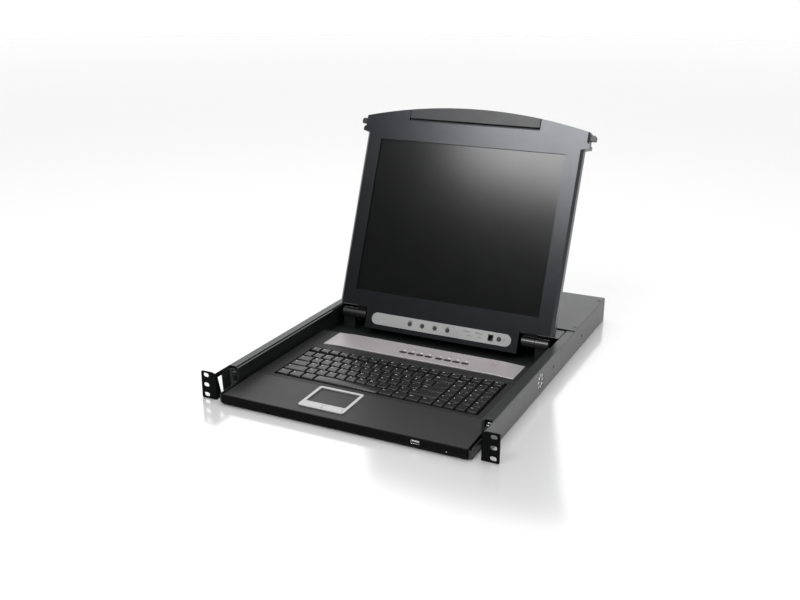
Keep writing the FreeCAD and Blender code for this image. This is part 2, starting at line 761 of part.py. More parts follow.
def palm_rest():
    """Moulded palm rest: sloping top, back wall and side skirts, open for the touchpad."""
    body = new_body("palm_rest")
    inner = "palm_back - housing_wall"
    extrude(body, "YZ", "-top_half", "top_half", [polygon([
        ("tray_front", "palm_front_level - housing_wall"),
        ("tray_front", "palm_front_level"),
        ("palm_back", "palm_back_level"),
        ("palm_back", "floor_level"),
        (inner, "floor_level"),
        (inner, palm_line(inner) + " - housing_wall")])])
    skirt_front = "tray_front + tray_sheet + 0.3"
    for side in (-1, 1):
        span = both(side, "top_half - housing_wall", "top_half")
        extrude(body, "YZ", span[0], span[1], [polygon([
            (skirt_front, "floor_level"),
            (inner, "floor_level"),
            (inner, palm_line(inner) + " - 1"),
            (skirt_front, palm_line(skirt_front) + " - 1")])])
    extrude(body, "XY", "floor_level", "palm_back_level + 1", [rectangle(
        "pad_left + pad_plug", "pad_right - pad_plug",
        "pad_front + pad_plug", "pad_back - pad_plug")], cut=True)
    soften(body, lambda edge: edge_runs(edge, 0) and edge_at(edge, 1, "palm_back")
           and edge_at(edge, 2, "palm_back_level"), "0.8")
    return body


def touchpad_frame():
    """Silver surround of the touchpad: a flange on the palm rest and a plug in its opening."""
    body = new_body("touchpad_frame")
    extrude(body, "YZ", "pad_left", "pad_right", [polygon([
        ("pad_front", palm_line("pad_front")),
        ("pad_back", palm_line("pad_back")),
        ("pad_back", palm_line("pad_back") + " + pad_raise"),
        ("pad_front", palm_line("pad_front") + " + pad_raise")])])
    soften(body, lambda edge: edge_runs(edge, 2), "5")
    extrude(body, "YZ", "pad_left + pad_plug + 0.1", "pad_right - pad_plug - 0.1", [polygon([
        ("pad_front + pad_plug + 0.1", palm_line("pad_front") + " - 4"),
        ("pad_back - pad_plug - 0.1", palm_line("pad_back") + " - 4"),
        ("pad_back - pad_plug - 0.1", palm_line("pad_back - pad_plug")),
        ("pad_front + pad_plug + 0.1", palm_line("pad_front + pad_plug"))])])
    extrude(body, "XY", "floor_level", "palm_back_level + 3", [
        rectangle("pad_left + pad_rim", "pad_right - pad_rim",
                  "pad_front + pad_bar", "pad_back - pad_rim")], cut=True)
    middle = "(pad_left + pad_right) / 2"
    extrude(body, "XY", "floor_level", "palm_back_level + 3", [
        rectangle("pad_left + pad_rim", middle + " - 0.6", "pad_front + 3", "pad_front + pad_bar - 3"),
        rectangle(middle + " + 0.6", "pad_right - pad_rim", "pad_front + 3",
                  "pad_front + pad_bar - 3")], cut=True)
    return body


def touchpad_surface():
    """Sensor plate, recessed in its frame."""
    body = new_body("touchpad_surface")
    front, back = "pad_front + pad_bar", "pad_back - pad_rim"
    extrude(body, "YZ", "pad_left + pad_rim", "pad_right - pad_rim", [polygon([
        (front, palm_line(front) + " - 1.8"),
        (back, palm_line(back) + " - 1.8"),
        (back, palm_line(back) + " - 0.2"),
        (front, palm_line(front) + " - 0.2")])])
    return body


def touchpad_button(label, side):
    """Click button in the bar in front of the touchpad."""
    body = new_body(label)
    middle = "(pad_left + pad_right) / 2"
    half = "(pad_right - pad_left) / 2 - pad_rim"
    reach = both(side, "0.6 + button_clear", half + " - button_clear")
    front, back = "pad_front + 3 + button_clear", "pad_front + pad_bar - 3 - button_clear"
    extrude(body, "YZ", middle + " + " + "(%s)" % reach[0], middle + " + " + "(%s)" % reach[1],
            [polygon([
                (front, palm_line(front) + " - 2.4"),
                (back, palm_line(back) + " - 2.4"),
                (back, palm_line(back) + " + pad_raise + 0.2"),
                ("(%s + %s) / 2" % (front, back), palm_line(front) + " + pad_raise + 0.7"),
                (front, palm_line(front) + " + pad_raise + 0.2")])])
    return body


# ---------------------------------------------------------------- keyboard

# Each run of equal keys: row counted from the space bar, first column, width in key pitches,
# and how many. The numeric pad takes the last four columns.
KEY_RUNS = {
    "space_bar": [(0, 3.75, 6.25, 1)],
    "letter_keys": [(0, 0, 1.25, 3), (0, 10, 1.25, 4),
                    (1, 0, 2.25, 1), (1, 2.25, 1, 10), (1, 12.25, 2.75, 1),
                    (2, 0, 1.75, 1), (2, 1.75, 1, 11), (2, 12.75, 2.25, 1),
                    (3, 0, 1.5, 1), (3, 1.5, 1, 12), (3, 13.5, 1.5, 1)],
    "number_keys": [(4, 0, 1, 13), (4, 13, 2, 1)],
    "function_keys": [(5, 0, 1, 15)],
    "pad_keys": [(row, 15, 1, 4) for row in range(6)],
}
FUNCTION_ROW = 5
FUNCTION_SHARE = 0.8            # depth of a function key as a share of the other keys


def key_span(run):
    """Bound edges of the first key of a run: left, right, front and back, without gaps."""
    row, column, wide = run[:3]
    front = "key_front + %g * row_pitch" % row
    share = FUNCTION_SHARE if row == FUNCTION_ROW else 1
    if row == FUNCTION_ROW:
        front += " + row_break"
    left = "key_left + %g * key_pitch" % column
    return left, "%s + %g * key_pitch" % (left, wide), front, "%s + %g * row_pitch" % (front, share)


def keys(label):
    """One group of key caps with drafted sides, each on its guide stem."""
    body = new_body(label)
    for run in KEY_RUNS[label]:
        left, right, front, back = key_span(run)
        cap = extrude(body, "XY", "key_foot", "key_foot + key_tall", [rectangle(
            left + " + key_gap / 2", right + " - key_gap / 2",
            front + " + key_gap / 2", back + " - key_gap / 2")], taper="-key_slope")
        guide = extrude(body, "XY", "plate_level + plate_sheet - 0.6", "key_foot", [middle_box(
            "(%s + %s) / 2" % (left, right), "(%s + %s) / 2" % (front, back), "stem", "stem")])
        if run[3] > 1:
            length = "%g * key_pitch" % (run[2] * (run[3] - 1))
            repeat(body, [cap, guide], "H_Axis", length, run[3])
    return body


def key_plate():
    """Steel plate with a slot that guides the key stems of each row, on legs from the floor."""
    body = new_body("key_plate")
    extrude(body, "XY", "plate_level", "plate_level + plate_sheet", [rectangle(
        "key_left - 6", "key_right + 6", "key_front - 5", "key_back + 5")])
    extrude(body, "XY", "floor_level", "plate_level", [
        middle_box(across, along, "6", "6")
        for across in ("key_left - 2", "(key_left + key_right) / 2", "key_right + 2")
        for along in ("key_front - 1", "key_back + 1")])
    rows = []
    for row in range(FUNCTION_ROW + 1):
        front, rear = key_span((row, 0, 1, 1))[2:]
        middle = "((%s + %s) / 2)" % (front, rear)
        rows.append(rectangle("key_left + stem / 2", "key_right - stem / 2",
                              middle + " - stem / 2 - stem_gap",
                              middle + " + stem / 2 + stem_gap"))
    extrude(body, "XY", "plate_level", "plate_level + plate_sheet", rows, cut=True)
    return body


def key_frame():
    """Moulded housing round the keys and under the control strip, open in both places."""
    body = new_body("key_frame")
    extrude(body, "XY", "floor_level", "frame_level",
            [rectangle("-top_half", "top_half", "palm_back", "frame_back")])
    extrude(body, "XY", "floor_level", "frame_level - housing_wall", [rectangle(
        "-(top_half - housing_wall)", "top_half - housing_wall",
        "palm_back + housing_wall", "frame_back - housing_wall")], cut=True)
    extrude(body, "XY", "floor_level", "frame_level", [rectangle(
        "key_left - key_margin", "key_right + key_margin",
        "key_front - key_margin", "key_back + key_margin")], cut=True)
    soften(body, lambda edge: edge_runs(edge, 0) and edge_at(edge, 1, "frame_back")
           and edge_at(edge, 2, "frame_level"), "1.2")
    return body


def cluster_across(index):
    """Place of one port-selection button; the buttons stand in two clusters of four."""
    return "button_first + %d * button_pitch + %d * cluster_step" % (index % 4, index // 4)


def control_strip():
    """Raised control panel with ramped ends, pierced for the eight buttons."""
    body = new_body("control_strip")
    extrude(body, "XZ", "strip_front", "strip_back", [polygon([
        ("strip_left", "frame_level"),
        ("strip_right", "frame_level"),
        ("strip_right", "frame_level + 0.4"),
        ("strip_right - strip_ramp", "strip_level"),
        ("strip_left + strip_ramp", "strip_level"),
        ("strip_left", "frame_level + 0.4")])])
    soften(body, lambda edge: edge_runs(edge, 0) and edge_at(edge, 2, "strip_level")
           and edge_at(edge, 1, "strip_front"), "1")
    holes = [middle_box(cluster_across(index), "button_row", "button_wide + 2 * button_clear",
                        "button_deep + 2 * button_clear") for index in range(8)]
    extrude(body, "XY", "frame_level", "strip_level", holes, cut=True)
    return body


def port_buttons():
    """The eight port-selection buttons."""
    body = new_body("port_buttons")
    foot = "frame_level + 1"
    extrude(body, "XY", foot, "strip_level + 0.7", [
        middle_box(cluster_across(index), "button_row", "button_wide", "button_deep")
        for index in range(8)])
    return body


def hinge_cover():
    """Deck behind the display, folded down onto the back wall of the tray."""
    body = new_body("hinge_cover")
    top = "tray_low + tray_tall"
    extrude(body, "YZ", "-(tray_half - tray_sheet)", "tray_half - tray_sheet", [polygon([
        ("deck_front", top),
        ("deck_back", top),
        ("deck_back", top + " + tray_sheet"),
        ("deck_front", top + " + tray_sheet")])])
    extrude(body, "YZ", "-(tray_half - tray_sheet)", "tray_half - tray_sheet",
            [rectangle("tray_back", "tray_back + tray_sheet", top + " - 8", top)])
    return body


# ---------------------------------------------------------------- hinges

def hinge_brackets():
    """The two fixed hinge knuckles, each on a leg and a foot screwed to the tray floor."""
    body = new_body("hinge_brackets")
    for side in (-1, 1):
        span = both(side, "hinge_out - knuckle", "hinge_out")
        extrude(body, "YZ", span[0], span[1], [polygon([
            ("axis_back - leg / 2", "floor_level"),
            ("axis_back + hinge_foot - leg / 2", "floor_level"),
            ("axis_back + hinge_foot - leg / 2", "floor_level + 2.4"),
            ("axis_back + leg / 2 + 3", "floor_level + 2.4"),
            ("axis_back + leg / 2", "floor_level + 6"),
            ("axis_back + leg / 2", "axis_level - 2"),
            ("axis_back - leg / 2", "axis_level - 2")])])
        extrude(body, "YZ", span[0], span[1], [circle("axis_back", "axis_level", "barrel")])
    extrude(body, "YZ", "-hinge_out - 1", "hinge_out + 1",
            [circle("axis_back", "axis_level", "pin")], cut=True)
    return body


def hinge_pins():
    """The two hinge pins."""
    body = new_body("hinge_pins")
    for side in (-1, 1):
        span = both(side, "hinge_in + 0.5", "hinge_out")
        extrude(body, "YZ", span[0], span[1], [circle("axis_back", "axis_level", "pin")])
    return body


def hinge_leaves():
    """The two moving knuckles, each with a leaf screwed inside the back cover."""
    body = new_display_body("hinge_leaves")
    inner = "rear_gap - cover_wall"
    for side in (-1, 1):
        span = both(side, "hinge_in", "hinge_in + knuckle")
        extrude(body, "YZ", span[0], span[1],
                [rectangle(inner + " - leaf_sheet", inner, "0", "leaf_tall")])
        extrude(body, "YZ", span[0], span[1], [circle("0", "0", "barrel")])
    extrude(body, "YZ", "-hinge_out", "hinge_out", [circle("0", "0", "pin + pin_clear")], cut=True)
    return body


# ---------------------------------------------------------------- display

def display_outline(inset):
    """Front outline of the display: hinge notches, wings with hook lobes and an arched top."""
    reach = "sqrt((crown - (%s)) * (crown - (%s)) - (wing_half - (%s)) * (wing_half - (%s)))" % (
        (inset,) * 4)
    corner = "(display_top - crown + %s)" % reach
    right = [("notch_half - (%s)", "-display_foot + (%s)"),
             ("notch_half - (%s)", "notch_top + (%s)"),
             ("display_half - (%s)", "notch_top + (%s)"),
             ("display_half - (%s)", "wing_foot + (%s)")]
    right = [(across % inset, up % inset) for across, up in right]
    if inset == "0":
        lobe = "wing_foot + 2 + lobe_tall"
        right += [("lobe_half", "wing_foot + 2"), ("lobe_half", lobe), ("wing_half", lobe + " + 2")]
    else:
        right += [("wing_half - (%s)" % inset, "wing_foot + (%s)" % inset)]
    right += [("wing_half - (%s)" % inset, corner)]
    left = [("-(%s)" % across, up) for across, up in reversed(right)]
    return polygon(right + left, {len(right) - 1: ("crown - (%s)" % inset, 1)})


def grip_zone(grow):
    """Outline of the handle grip, reaching past the arched top when grown."""
    return rectangle("-grip_half - (%s)" % grow, "grip_half + (%s)" % grow,
                     "grip_foot - (%s)" % grow, "display_top + 2")


def latch_opening(side):
    """Opening in the side of a wing for the latch, seen from the front."""
    span = both(side, "wing_half - bezel_wall - 1", "wing_half + 1")
    return rectangle(span[0], span[1], "latch_level - latch_clear",
                     "latch_level + latch_tall + latch_clear")


def osd_across(index):
    """Place of one display button."""
    return "osd_first + %d * osd_pitch" % index


def display_bezel():
    """Front shell of the display with the screen opening and its control panel recess."""
    body = new_display_body("display_bezel")
    extrude(body, "XZ", "-face_gap", "-split_gap", [display_outline("0")])
    soften(body, lambda edge: edge_runs(edge, 2) and edge_at(edge, 1, "-face_gap")
           and abs(abs(edge.CenterOfMass.x) - number("display_half")) < 0.01
           and edge.Length > number("view_tall") / 2, "side_bevel", "side_bevel")
    soften(body, lambda edge: edge_runs(edge, 2) and edge_at(edge, 1, "-face_gap")
           and abs(abs(edge.CenterOfMass.x) - number("wing_half")) < 0.01, "wing_bevel", "wing_bevel")
    extrude(body, "XZ", "-face_gap + bezel_plate", "-split_gap",
            [display_outline("bezel_wall")], cut=True)
    extrude(body, "XZ", "-face_gap", "-split_gap",
            [middle_box("0", "view_centre", "view_wide", "view_tall")], cut=True)
    extrude(body, "XZ", "-face_gap", "-split_gap", [grip_zone("grip_clear")], cut=True)
    extrude(body, "XZ", "-face_gap", "-face_gap + osd_recess",
            [slot("0", "osd_level", "2 * osd_half", "osd_tall")], cut=True)
    holes = [circle(osd_across(index), "osd_level", "osd_button + button_clear")
             for index in range(4)]
    holes.append(circle("power_place", "osd_level", "osd_button + button_clear"))
    holes.append(middle_box("socket_place", "osd_level", "socket_wide", "socket_tall"))
    extrude(body, "XZ", "-face_gap + osd_recess - 0.1", "-face_gap + bezel_plate", holes, cut=True)
    for side in (-1, 1):
        extrude(body, "XZ", "-rear_gap - latch_clear", "-split_gap", [latch_opening(side)],
                cut=True)
    return body


def display_back_cover():
    """Rear shell of the display, bevelled all round."""
    body = new_display_body("display_back_cover")
    extrude(body, "XZ", "-split_gap", "rear_gap", [display_outline("0")])
    soften(body, lambda edge: edge_runs(edge, 2) and edge_at(edge, 1, "rear_gap")
           and abs(abs(edge.CenterOfMass.x) - number("display_half")) < 0.01
           and edge.Length > number("view_tall") / 2, "3", "3")
    extrude(body, "XZ", "-split_gap", "rear_gap - cover_wall",
            [display_outline("bezel_wall")], cut=True)
    extrude(body, "XZ", "-split_gap", "rear_gap", [grip_zone("grip_clear")], cut=True)
    for side in (-1, 1):
        extrude(body, "XZ", "-split_gap", "latch_thick - rear_gap + latch_clear",
                [latch_opening(side)], cut=True)
        span = both(side, "hinge_in - 1", "hinge_in + knuckle + 1")
        extrude(body, "XZ", "rear_gap - cover_wall - leaf_sheet - 0.4", "rear_gap - cover_wall",
                [rectangle(span[0], span[1], "notch_top - 1", "notch_top + bezel_wall + 1")],
                cut=True)
    return body


def screen_glass():
    """Clear front pane of the screen."""
    body = new_display_body("screen_glass")
    extrude(body, "XZ", "-face_gap + bezel_plate", "-face_gap + bezel_plate + glass_thick",
            [middle_box("0", "view_centre", "view_wide + 2 * glass_margin",
                        "view_tall + 2 * glass_margin")])
    return body


def lcd_module():
    """Flat panel in its metal frame."""
    body = new_display_body("lcd_module")
    front = "-face_gap + bezel_plate + glass_thick"
    extrude(body, "XZ", front, front + " + module_thick",
            [middle_box("0", "view_centre", "module_wide", "module_tall")])
    extrude(body, "XZ", front, front + " + 0.6", [middle_box(
        "0", "view_centre", "view_wide - 2", "view_tall - 2")], cut=True)
    return body


def display_board():
    """Circuit board behind the display buttons."""
    body = new_display_body("display_board")
    extrude(body, "XZ", "-1", "0.6", [rectangle("-osd_half + 4", "osd_half - 4",
            "-display_foot + bezel_wall + 1", "view_centre - module_tall / 2 - 3")])
    extrude(body, "XZ", "0.6", "rear_gap - cover_wall", [
        middle_box(across, "osd_level + 12", "5", "5") for across in ("-osd_half + 12", "osd_half - 12")])
    extrude(body, "XZ", "-5.8", "-1", [middle_box(osd_across(index), "osd_level", "6", "6")
                                      for index in range(4)]
            + [middle_box("power_place", "osd_level", "6", "6")])
    return body


def osd_strip():
    """Silver control panel of the display, pierced for its buttons and socket."""
    body = new_display_body("osd_strip")
    back = "-face_gap + osd_recess"
    holes = [circle(osd_across(index), "osd_level", "osd_button + button_clear")
             for index in range(4)]
    holes.append(circle("power_place", "osd_level", "osd_button + button_clear"))
    holes.append(middle_box("socket_place", "osd_level", "socket_wide", "socket_tall"))
    extrude(body, "XZ", back + " - osd_thick", back,
            [slot("0", "osd_level", "2 * osd_half - 0.2", "osd_tall - 0.2")] + holes)
    return body


def osd_button(label, across):
    """Display button: a round key with a collar behind the bezel."""
    body = new_display_body(label)
    top = "-face_gap + osd_recess - osd_thick - osd_reach"
    collar = "-face_gap + bezel_plate + 0.3"
    extrude(body, "XZ", top, collar, [circle(across, "osd_level", "osd_button")])
    extrude(body, "XZ", collar, collar + " + 1", [circle(across, "osd_level", "osd_button + 1.2")])
    extrude(body, "XZ", collar + " + 1", "-6.9", [circle(across, "osd_level", "1.2")])
    return body


def service_socket():
    """Square service socket in the display's control panel."""
    body = new_display_body("service_socket")
    outer = middle_box("socket_place", "osd_level", "socket_wide - 0.2", "socket_tall - 0.2")
    inner = middle_box("socket_place", "osd_level", "socket_wide - 2", "socket_tall - 3")
    front = "-face_gap + osd_recess - osd_thick - 0.2"
    extrude(body, "XZ", front, "-1", [outer])
    extrude(body, "XZ", front, "-3", [inner], cut=True)
    return body


def handle_grip():
    """Grip in the arched top of the display, undercut for the fingers along its lower edge."""
    body = new_display_body("handle_grip")
    rise = "sqrt(crown * crown - grip_half * grip_half)"
    corner = "display_top - crown + " + rise
    extrude(body, "XZ", "-face_gap - grip_proud", "rear_gap + grip_proud", [polygon([
        ("-grip_half", "grip_foot"), ("grip_half", "grip_foot"),
        ("grip_half", corner), ("-grip_half", corner)], {2: ("crown", 1)})])
    extrude(body, "YZ", "-grip_half - 1", "grip_half + 1", [polygon([
        ("-face_gap - grip_proud - 1", "grip_foot - 1"),
        ("-face_gap + 3", "grip_foot - 1"),
        ("-face_gap + 3", "grip_foot + grip_lip / 2"),
        ("-face_gap - grip_proud - 1", "grip_foot + grip_lip")])], cut=True)
    soften(body, lambda edge: edge_runs(edge, 2) and edge_at(edge, 1, "-face_gap - grip_proud"),
           "1.5")
    return body


def latch(label, side):
    """Sliding latch: a shank inside the wing and a rounded tongue outside."""
    body = new_display_body(label)
    turn = "%d * " % side
    high = "latch_level + latch_tall"
    extrude(body, "XZ", "-rear_gap", "latch_thick - rear_gap", [polygon([
        (turn + "(wing_half - latch_long + latch_reach)", "latch_level"),
        (turn + "(wing_half + latch_reach)", "latch_level"),
        (turn + "(wing_half + latch_reach)", high),
        (turn + "(wing_half - latch_long + latch_reach)", high)])])
    soften(body, lambda edge: edge_runs(edge, 1) and edge_at(edge, 2, high)
           and edge_at(edge, 0, turn + "(wing_half + latch_reach)"), "latch_tall * 0.4")
    soften(body, lambda edge: edge_runs(edge, 1) and edge_at(edge, 2, "latch_level")
           and edge_at(edge, 0, turn + "(wing_half + latch_reach)"), "2")
    return body


# ---------------------------------------------------------------- screws

def heads(body, plane, start, finish, spots):
    """Low screw heads at the given places."""
    extrude(body, plane, start, finish,
            [circle(across, up, "screw_head") for across, up in spots])


def chassis_screws():
    """Screws of the chassis sides and of the rear cover."""
    body = new_body("chassis_screws")
    for side in (-1, 1):
        span = both(side, "shell_half", "shell_half + screw_thick")
        heads(body, "YZ", span[0], span[1],
              [("vent_place + 65", "shell_tall / 2"), ("box_front + 45", "shell_tall / 2 - 2")])
    level = "shell_tall + box_sheet"
    heads(body, "XY", level, level + " + screw_thick",
          [("%d * (shell_half - 6)" % side, along) for side in (-1, 1)
           for along in ("box_front + 20", "shell_deep - 20")])
    return body


def drawer_screws():
    """Screws that hold the hinge feet to the tray."""
    body = new_body("drawer_screws")
    level = "floor_level + 2.4"
    heads(body, "XY", level, level + " + screw_thick * 2",
          [("%d * (hinge_out - knuckle / 2)" % side, "axis_back + 20") for side in (-1, 1)])
    return body


def display_screws():
    """Screws of the display's back cover."""
    body = new_display_body("display_screws")
    heads(body, "XZ", "rear_gap", "rear_gap + screw_thick",
          [("%d * (display_half - 12)" % side, up) for side in (-1, 1)
           for up in ("notch_top + 20", "wing_foot - 6")])
    return body


# ---------------------------------------------------------------- assembly

parts = []
for name, side in (("left", -1), ("right", 1)):
    parts += [side_channel("side_channel_" + name, side), rack_ear("rack_ear_" + name, side),
              slide_outer("slide_outer_" + name, side), slide_middle("slide_middle_" + name, side),
              slide_inner("slide_inner_" + name, side), ball_cage("ball_cage_" + name, side),
              touchpad_button("touchpad_button_" + name, side), latch("latch_" + name, side)]
parts += [rear_floor(), rear_cover(), rear_panel(), power_inlet(), power_rocker(),
          rocker_housing(), computer_ports(), power_supply(), switch_board()]
parts += [drawer_tray(), front_trim(), usb_port(), palm_rest(), touchpad_frame(),
          touchpad_surface(), key_plate(), key_frame(), control_strip(), port_buttons(),
          hinge_cover(), hinge_brackets(), hinge_pins()]
parts += [keys(name) for name in KEY_RUNS]
parts += [display_bezel(), display_back_cover(), screen_glass(), lcd_module(), display_board(),
          osd_strip(), service_socket(), handle_grip(), hinge_leaves()]
parts += [osd_button("osd_button_%d" % (index + 1), osd_across(index)) for index in range(4)]
parts += [osd_button("display_power_button", "power_place")]
parts += [chassis_screws(), drawer_screws(), display_screws()]

doc.recompute()
for item in doc.Objects:
    if "Invalid" in item.State or "Error" in item.State:
        raise ValueError("%s failed: %s" % (item.Label, item.State))
for part in parts:
    if part.Shape.isNull() or not part.Shape.isValid():
        raise ValueError("%s has no valid shape" % part.Label)
for part in parts:
    part.Shape.exportStep("parts/%s.step" % part.Label)
    box = part.Shape.BoundBox
    print("%-22s solids %3d  X %7.1f %7.1f  Y %7.1f %7.1f  Z %7.1f %7.1f" % (
        part.Label, len(part.Shape.Solids), box.XMin, box.XMax, box.YMin, box.YMax,
        box.ZMin, box.ZMax))
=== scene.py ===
# %% [markdown]
# # A rack drawer with a keyboard and a fold-up display
# The real object is a shallow steel drawer, one rack unit tall. A keyboard slides out on ball
# slides, and a flat display folds up behind it. The measured model is already packed, so this
# lesson opens it, measures it, builds the fine pieces on it, and gives every piece its finish.

# %% Open the measured model
import json
from math import radians, sin, cos, pi

import bmesh
import bpy
import numpy as np
from mathutils import Matrix, Vector

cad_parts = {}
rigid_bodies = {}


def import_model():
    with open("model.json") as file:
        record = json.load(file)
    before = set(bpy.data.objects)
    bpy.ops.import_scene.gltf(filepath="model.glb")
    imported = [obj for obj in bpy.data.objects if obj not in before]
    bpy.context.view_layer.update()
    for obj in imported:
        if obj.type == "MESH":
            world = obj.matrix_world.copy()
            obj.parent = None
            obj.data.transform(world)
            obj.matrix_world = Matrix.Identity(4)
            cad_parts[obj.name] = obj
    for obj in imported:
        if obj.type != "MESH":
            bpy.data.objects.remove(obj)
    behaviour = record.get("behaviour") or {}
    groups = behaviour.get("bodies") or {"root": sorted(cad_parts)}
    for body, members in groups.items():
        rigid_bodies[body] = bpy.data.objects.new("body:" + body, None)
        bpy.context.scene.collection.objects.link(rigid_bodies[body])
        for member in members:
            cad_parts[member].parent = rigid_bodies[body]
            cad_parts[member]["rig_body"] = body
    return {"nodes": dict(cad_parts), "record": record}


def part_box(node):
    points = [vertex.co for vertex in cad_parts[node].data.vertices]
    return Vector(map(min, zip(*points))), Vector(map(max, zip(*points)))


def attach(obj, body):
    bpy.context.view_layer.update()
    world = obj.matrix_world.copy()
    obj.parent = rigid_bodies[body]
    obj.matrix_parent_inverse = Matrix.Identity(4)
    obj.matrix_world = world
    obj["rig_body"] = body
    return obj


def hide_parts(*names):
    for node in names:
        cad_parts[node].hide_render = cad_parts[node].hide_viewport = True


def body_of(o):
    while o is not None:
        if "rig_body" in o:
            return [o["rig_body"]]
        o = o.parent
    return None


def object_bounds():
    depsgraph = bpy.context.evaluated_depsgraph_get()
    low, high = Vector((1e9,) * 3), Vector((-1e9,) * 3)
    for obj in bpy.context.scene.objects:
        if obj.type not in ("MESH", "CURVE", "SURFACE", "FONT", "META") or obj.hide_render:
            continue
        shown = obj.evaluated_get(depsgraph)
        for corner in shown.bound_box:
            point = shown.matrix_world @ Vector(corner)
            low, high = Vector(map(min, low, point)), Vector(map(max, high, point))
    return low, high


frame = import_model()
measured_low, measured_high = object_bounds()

nodes = frame["nodes"]
print("size in mm", [round(1000 * (b - a), 1) for a, b in zip(measured_low, measured_high)])

# %% [markdown]
# ## The camera
# The camera looks from slightly above and to one side. Its own three axes are written as the
# columns of a matrix: right, up and back. The lens and the distance were worked out from the
# rack ears, whose size is standard.

# %% Place the camera
azimuth, elevation, roll = radians(25.99), radians(19.04), radians(0.18)
back = Vector((sin(azimuth) * cos(elevation), -cos(azimuth) * cos(elevation), sin(elevation)))
level_right = Vector((cos(azimuth), sin(azimuth), 0.0))
level_up = back.cross(level_right)
right = cos(roll) * level_right + sin(roll) * level_up
up = cos(roll) * level_up - sin(roll) * level_right
camera_data = bpy.data.cameras.new("studio_camera")
camera_data.lens, camera_place = 44.3, (0.63258, -1.10654, 0.61056)
camera = bpy.data.objects.new("studio_camera", camera_data)
camera.matrix_world = (Matrix.Translation(camera_place)
                       @ Matrix((right, up, back)).transposed().to_4x4())
bpy.context.collection.objects.link(camera)
bpy.context.scene.camera = camera
bpy.context.scene.view_settings.view_transform = "Standard"
print("camera looks down by", round(elevation * 180 / pi, 1), "degrees")

# %% [markdown]
# ## Small tools for materials
# Every finish here is a Principled shader with a few noise textures on Object coordinates.
# Object coordinates are in metres and stay on the piece, so one scale gives the same grain on
# every piece. These helpers keep each finish short enough to read.

# %% Material tools
def add_node(material, kind, **sockets):
    """Add one node to a material or world and set its sockets by name, with _ for a space."""
    made = material.node_tree.nodes.new("ShaderNode" + kind)
    for name, value in sockets.items():
        made.inputs[name.replace("_", " ")].default_value = value
    return made


def wire(material, source, target):
    """Join an output socket to an input socket."""
    material.node_tree.links.new(source, target)


def grain(material, scale, detail=2.0, stretch=(1.0, 1.0, 1.0)):
    """Noise over the piece: scale is grains per metre, stretch squeezes it along each axis."""
    place = add_node(material, "TexCoord")
    mapping = add_node(material, "Mapping", Scale=stretch)
    noise = add_node(material, "TexNoise", Scale=scale, Detail=detail)
    wire(material, place.outputs["Object"], mapping.inputs["Vector"])
    wire(material, mapping.outputs["Vector"], noise.inputs["Vector"])
    return noise.outputs["Fac"]


def spread(material, source, low, high):
    """Stretch a noise value to low..high; noise stays mostly between 0.2 and 0.8."""
    ramp = add_node(material, "MapRange", From_Min=0.2, From_Max=0.8, To_Min=low, To_Max=high)
    wire(material, source, ramp.inputs["Value"])
    return ramp.outputs["Result"]


def blend_colours(material, amount, first, second):
    """Mix two colours by a noise value between 0 and 1."""
    mix = material.node_tree.nodes.new("ShaderNodeMix")
    mix.data_type = "RGBA"
    ends = [socket for socket in mix.inputs if socket.type == "RGBA"]
    for socket, colour in zip(ends, (first, second)):
        socket.default_value = (*colour, 1.0)
    wire(material, amount, mix.inputs[0])
    return [socket for socket in mix.outputs if socket.type == "RGBA"][0]


def raise_grain(material, shader, source, depth):
    """Bump from a height value; depth is in metres."""
    bump = add_node(material, "Bump", Strength=1.0, Distance=depth)
    wire(material, source, bump.inputs["Height"])
    wire(material, bump.outputs["Normal"], shader.inputs["Normal"])


def textured(name, light, dark, rough, metallic=0.0, grains=1200.0, depth=0.00004,
             patches=9.0, stretch=(1.0, 1.0, 1.0), **sockets):
    """A finish with slow colour patches, uneven roughness and a fine raised grain.

    Constants go straight on to the Principled shader's own sockets.
    """
    material = bpy.data.materials.new(name)
    material.use_nodes = True
    shader = material.node_tree.nodes["Principled BSDF"]
    constants = {"Base_Color": (*light, 1.0), "Roughness": rough[0], "Metallic": metallic}
    for socket, value in (constants | sockets).items():
        shader.inputs[socket.replace("_", " ")].default_value = value
    patch = spread(material, grain(material, patches, 4.0, stretch), 0.0, 1.0)
    wire(material, blend_colours(material, patch, light, dark), shader.inputs["Base Color"])
    rub = spread(material, grain(material, patches * 4, 5.0, stretch), rough[0], rough[1])
    wire(material, rub, shader.inputs["Roughness"])
    raise_grain(material, shader, grain(material, grains, 2.0, stretch), depth)
    return material


# %% [markdown]
# ## The finishes
# The steel is powder-coated black, which is a thin plastic skin with a fine pebbled surface.
# The moulded parts are black or silver plastic, and the slides are zinc-plated steel.

# %% Painted and plated steel
powder_coat = textured("black_powder_coat", (0.0075, 0.0095, 0.0088), (0.005, 0.0065, 0.006),
                       (0.33, 0.37), grains=1400.0)
ear_paint = textured("matt_black_paint", (0.002, 0.0026, 0.0024), (0.0015, 0.002, 0.0018),
                     (0.5, 0.62), grains=1500.0, Specular_IOR_Level=0.04)
plated_steel = textured("zinc_plated_steel", (0.62, 0.63, 0.64), (0.5, 0.51, 0.52), (0.28, 0.42),
                        metallic=1.0, grains=500.0, depth=0.00001, stretch=(6.0, 0.15, 6.0))
bright_steel = textured("bright_steel", (0.75, 0.75, 0.74), (0.62, 0.62, 0.62), (0.2, 0.32),
                        metallic=1.0, grains=1500.0, depth=0.000006)
# Paler and less metallic than the zinc of the slides that it stands for: painted light, so the
# rosette holes show bright instead of lying in shade.
petal_painted_light = textured("pale_petals_painted_light", (0.8, 0.8, 0.78), (0.66, 0.66, 0.65), (0.4, 0.5),
                       metallic=0.3, grains=1500.0, depth=0.00001)
contact_gold = textured("contact_gold", (0.78, 0.55, 0.22), (0.62, 0.42, 0.16), (0.2, 0.3),
                        metallic=1.0, grains=2500.0, depth=0.000004)
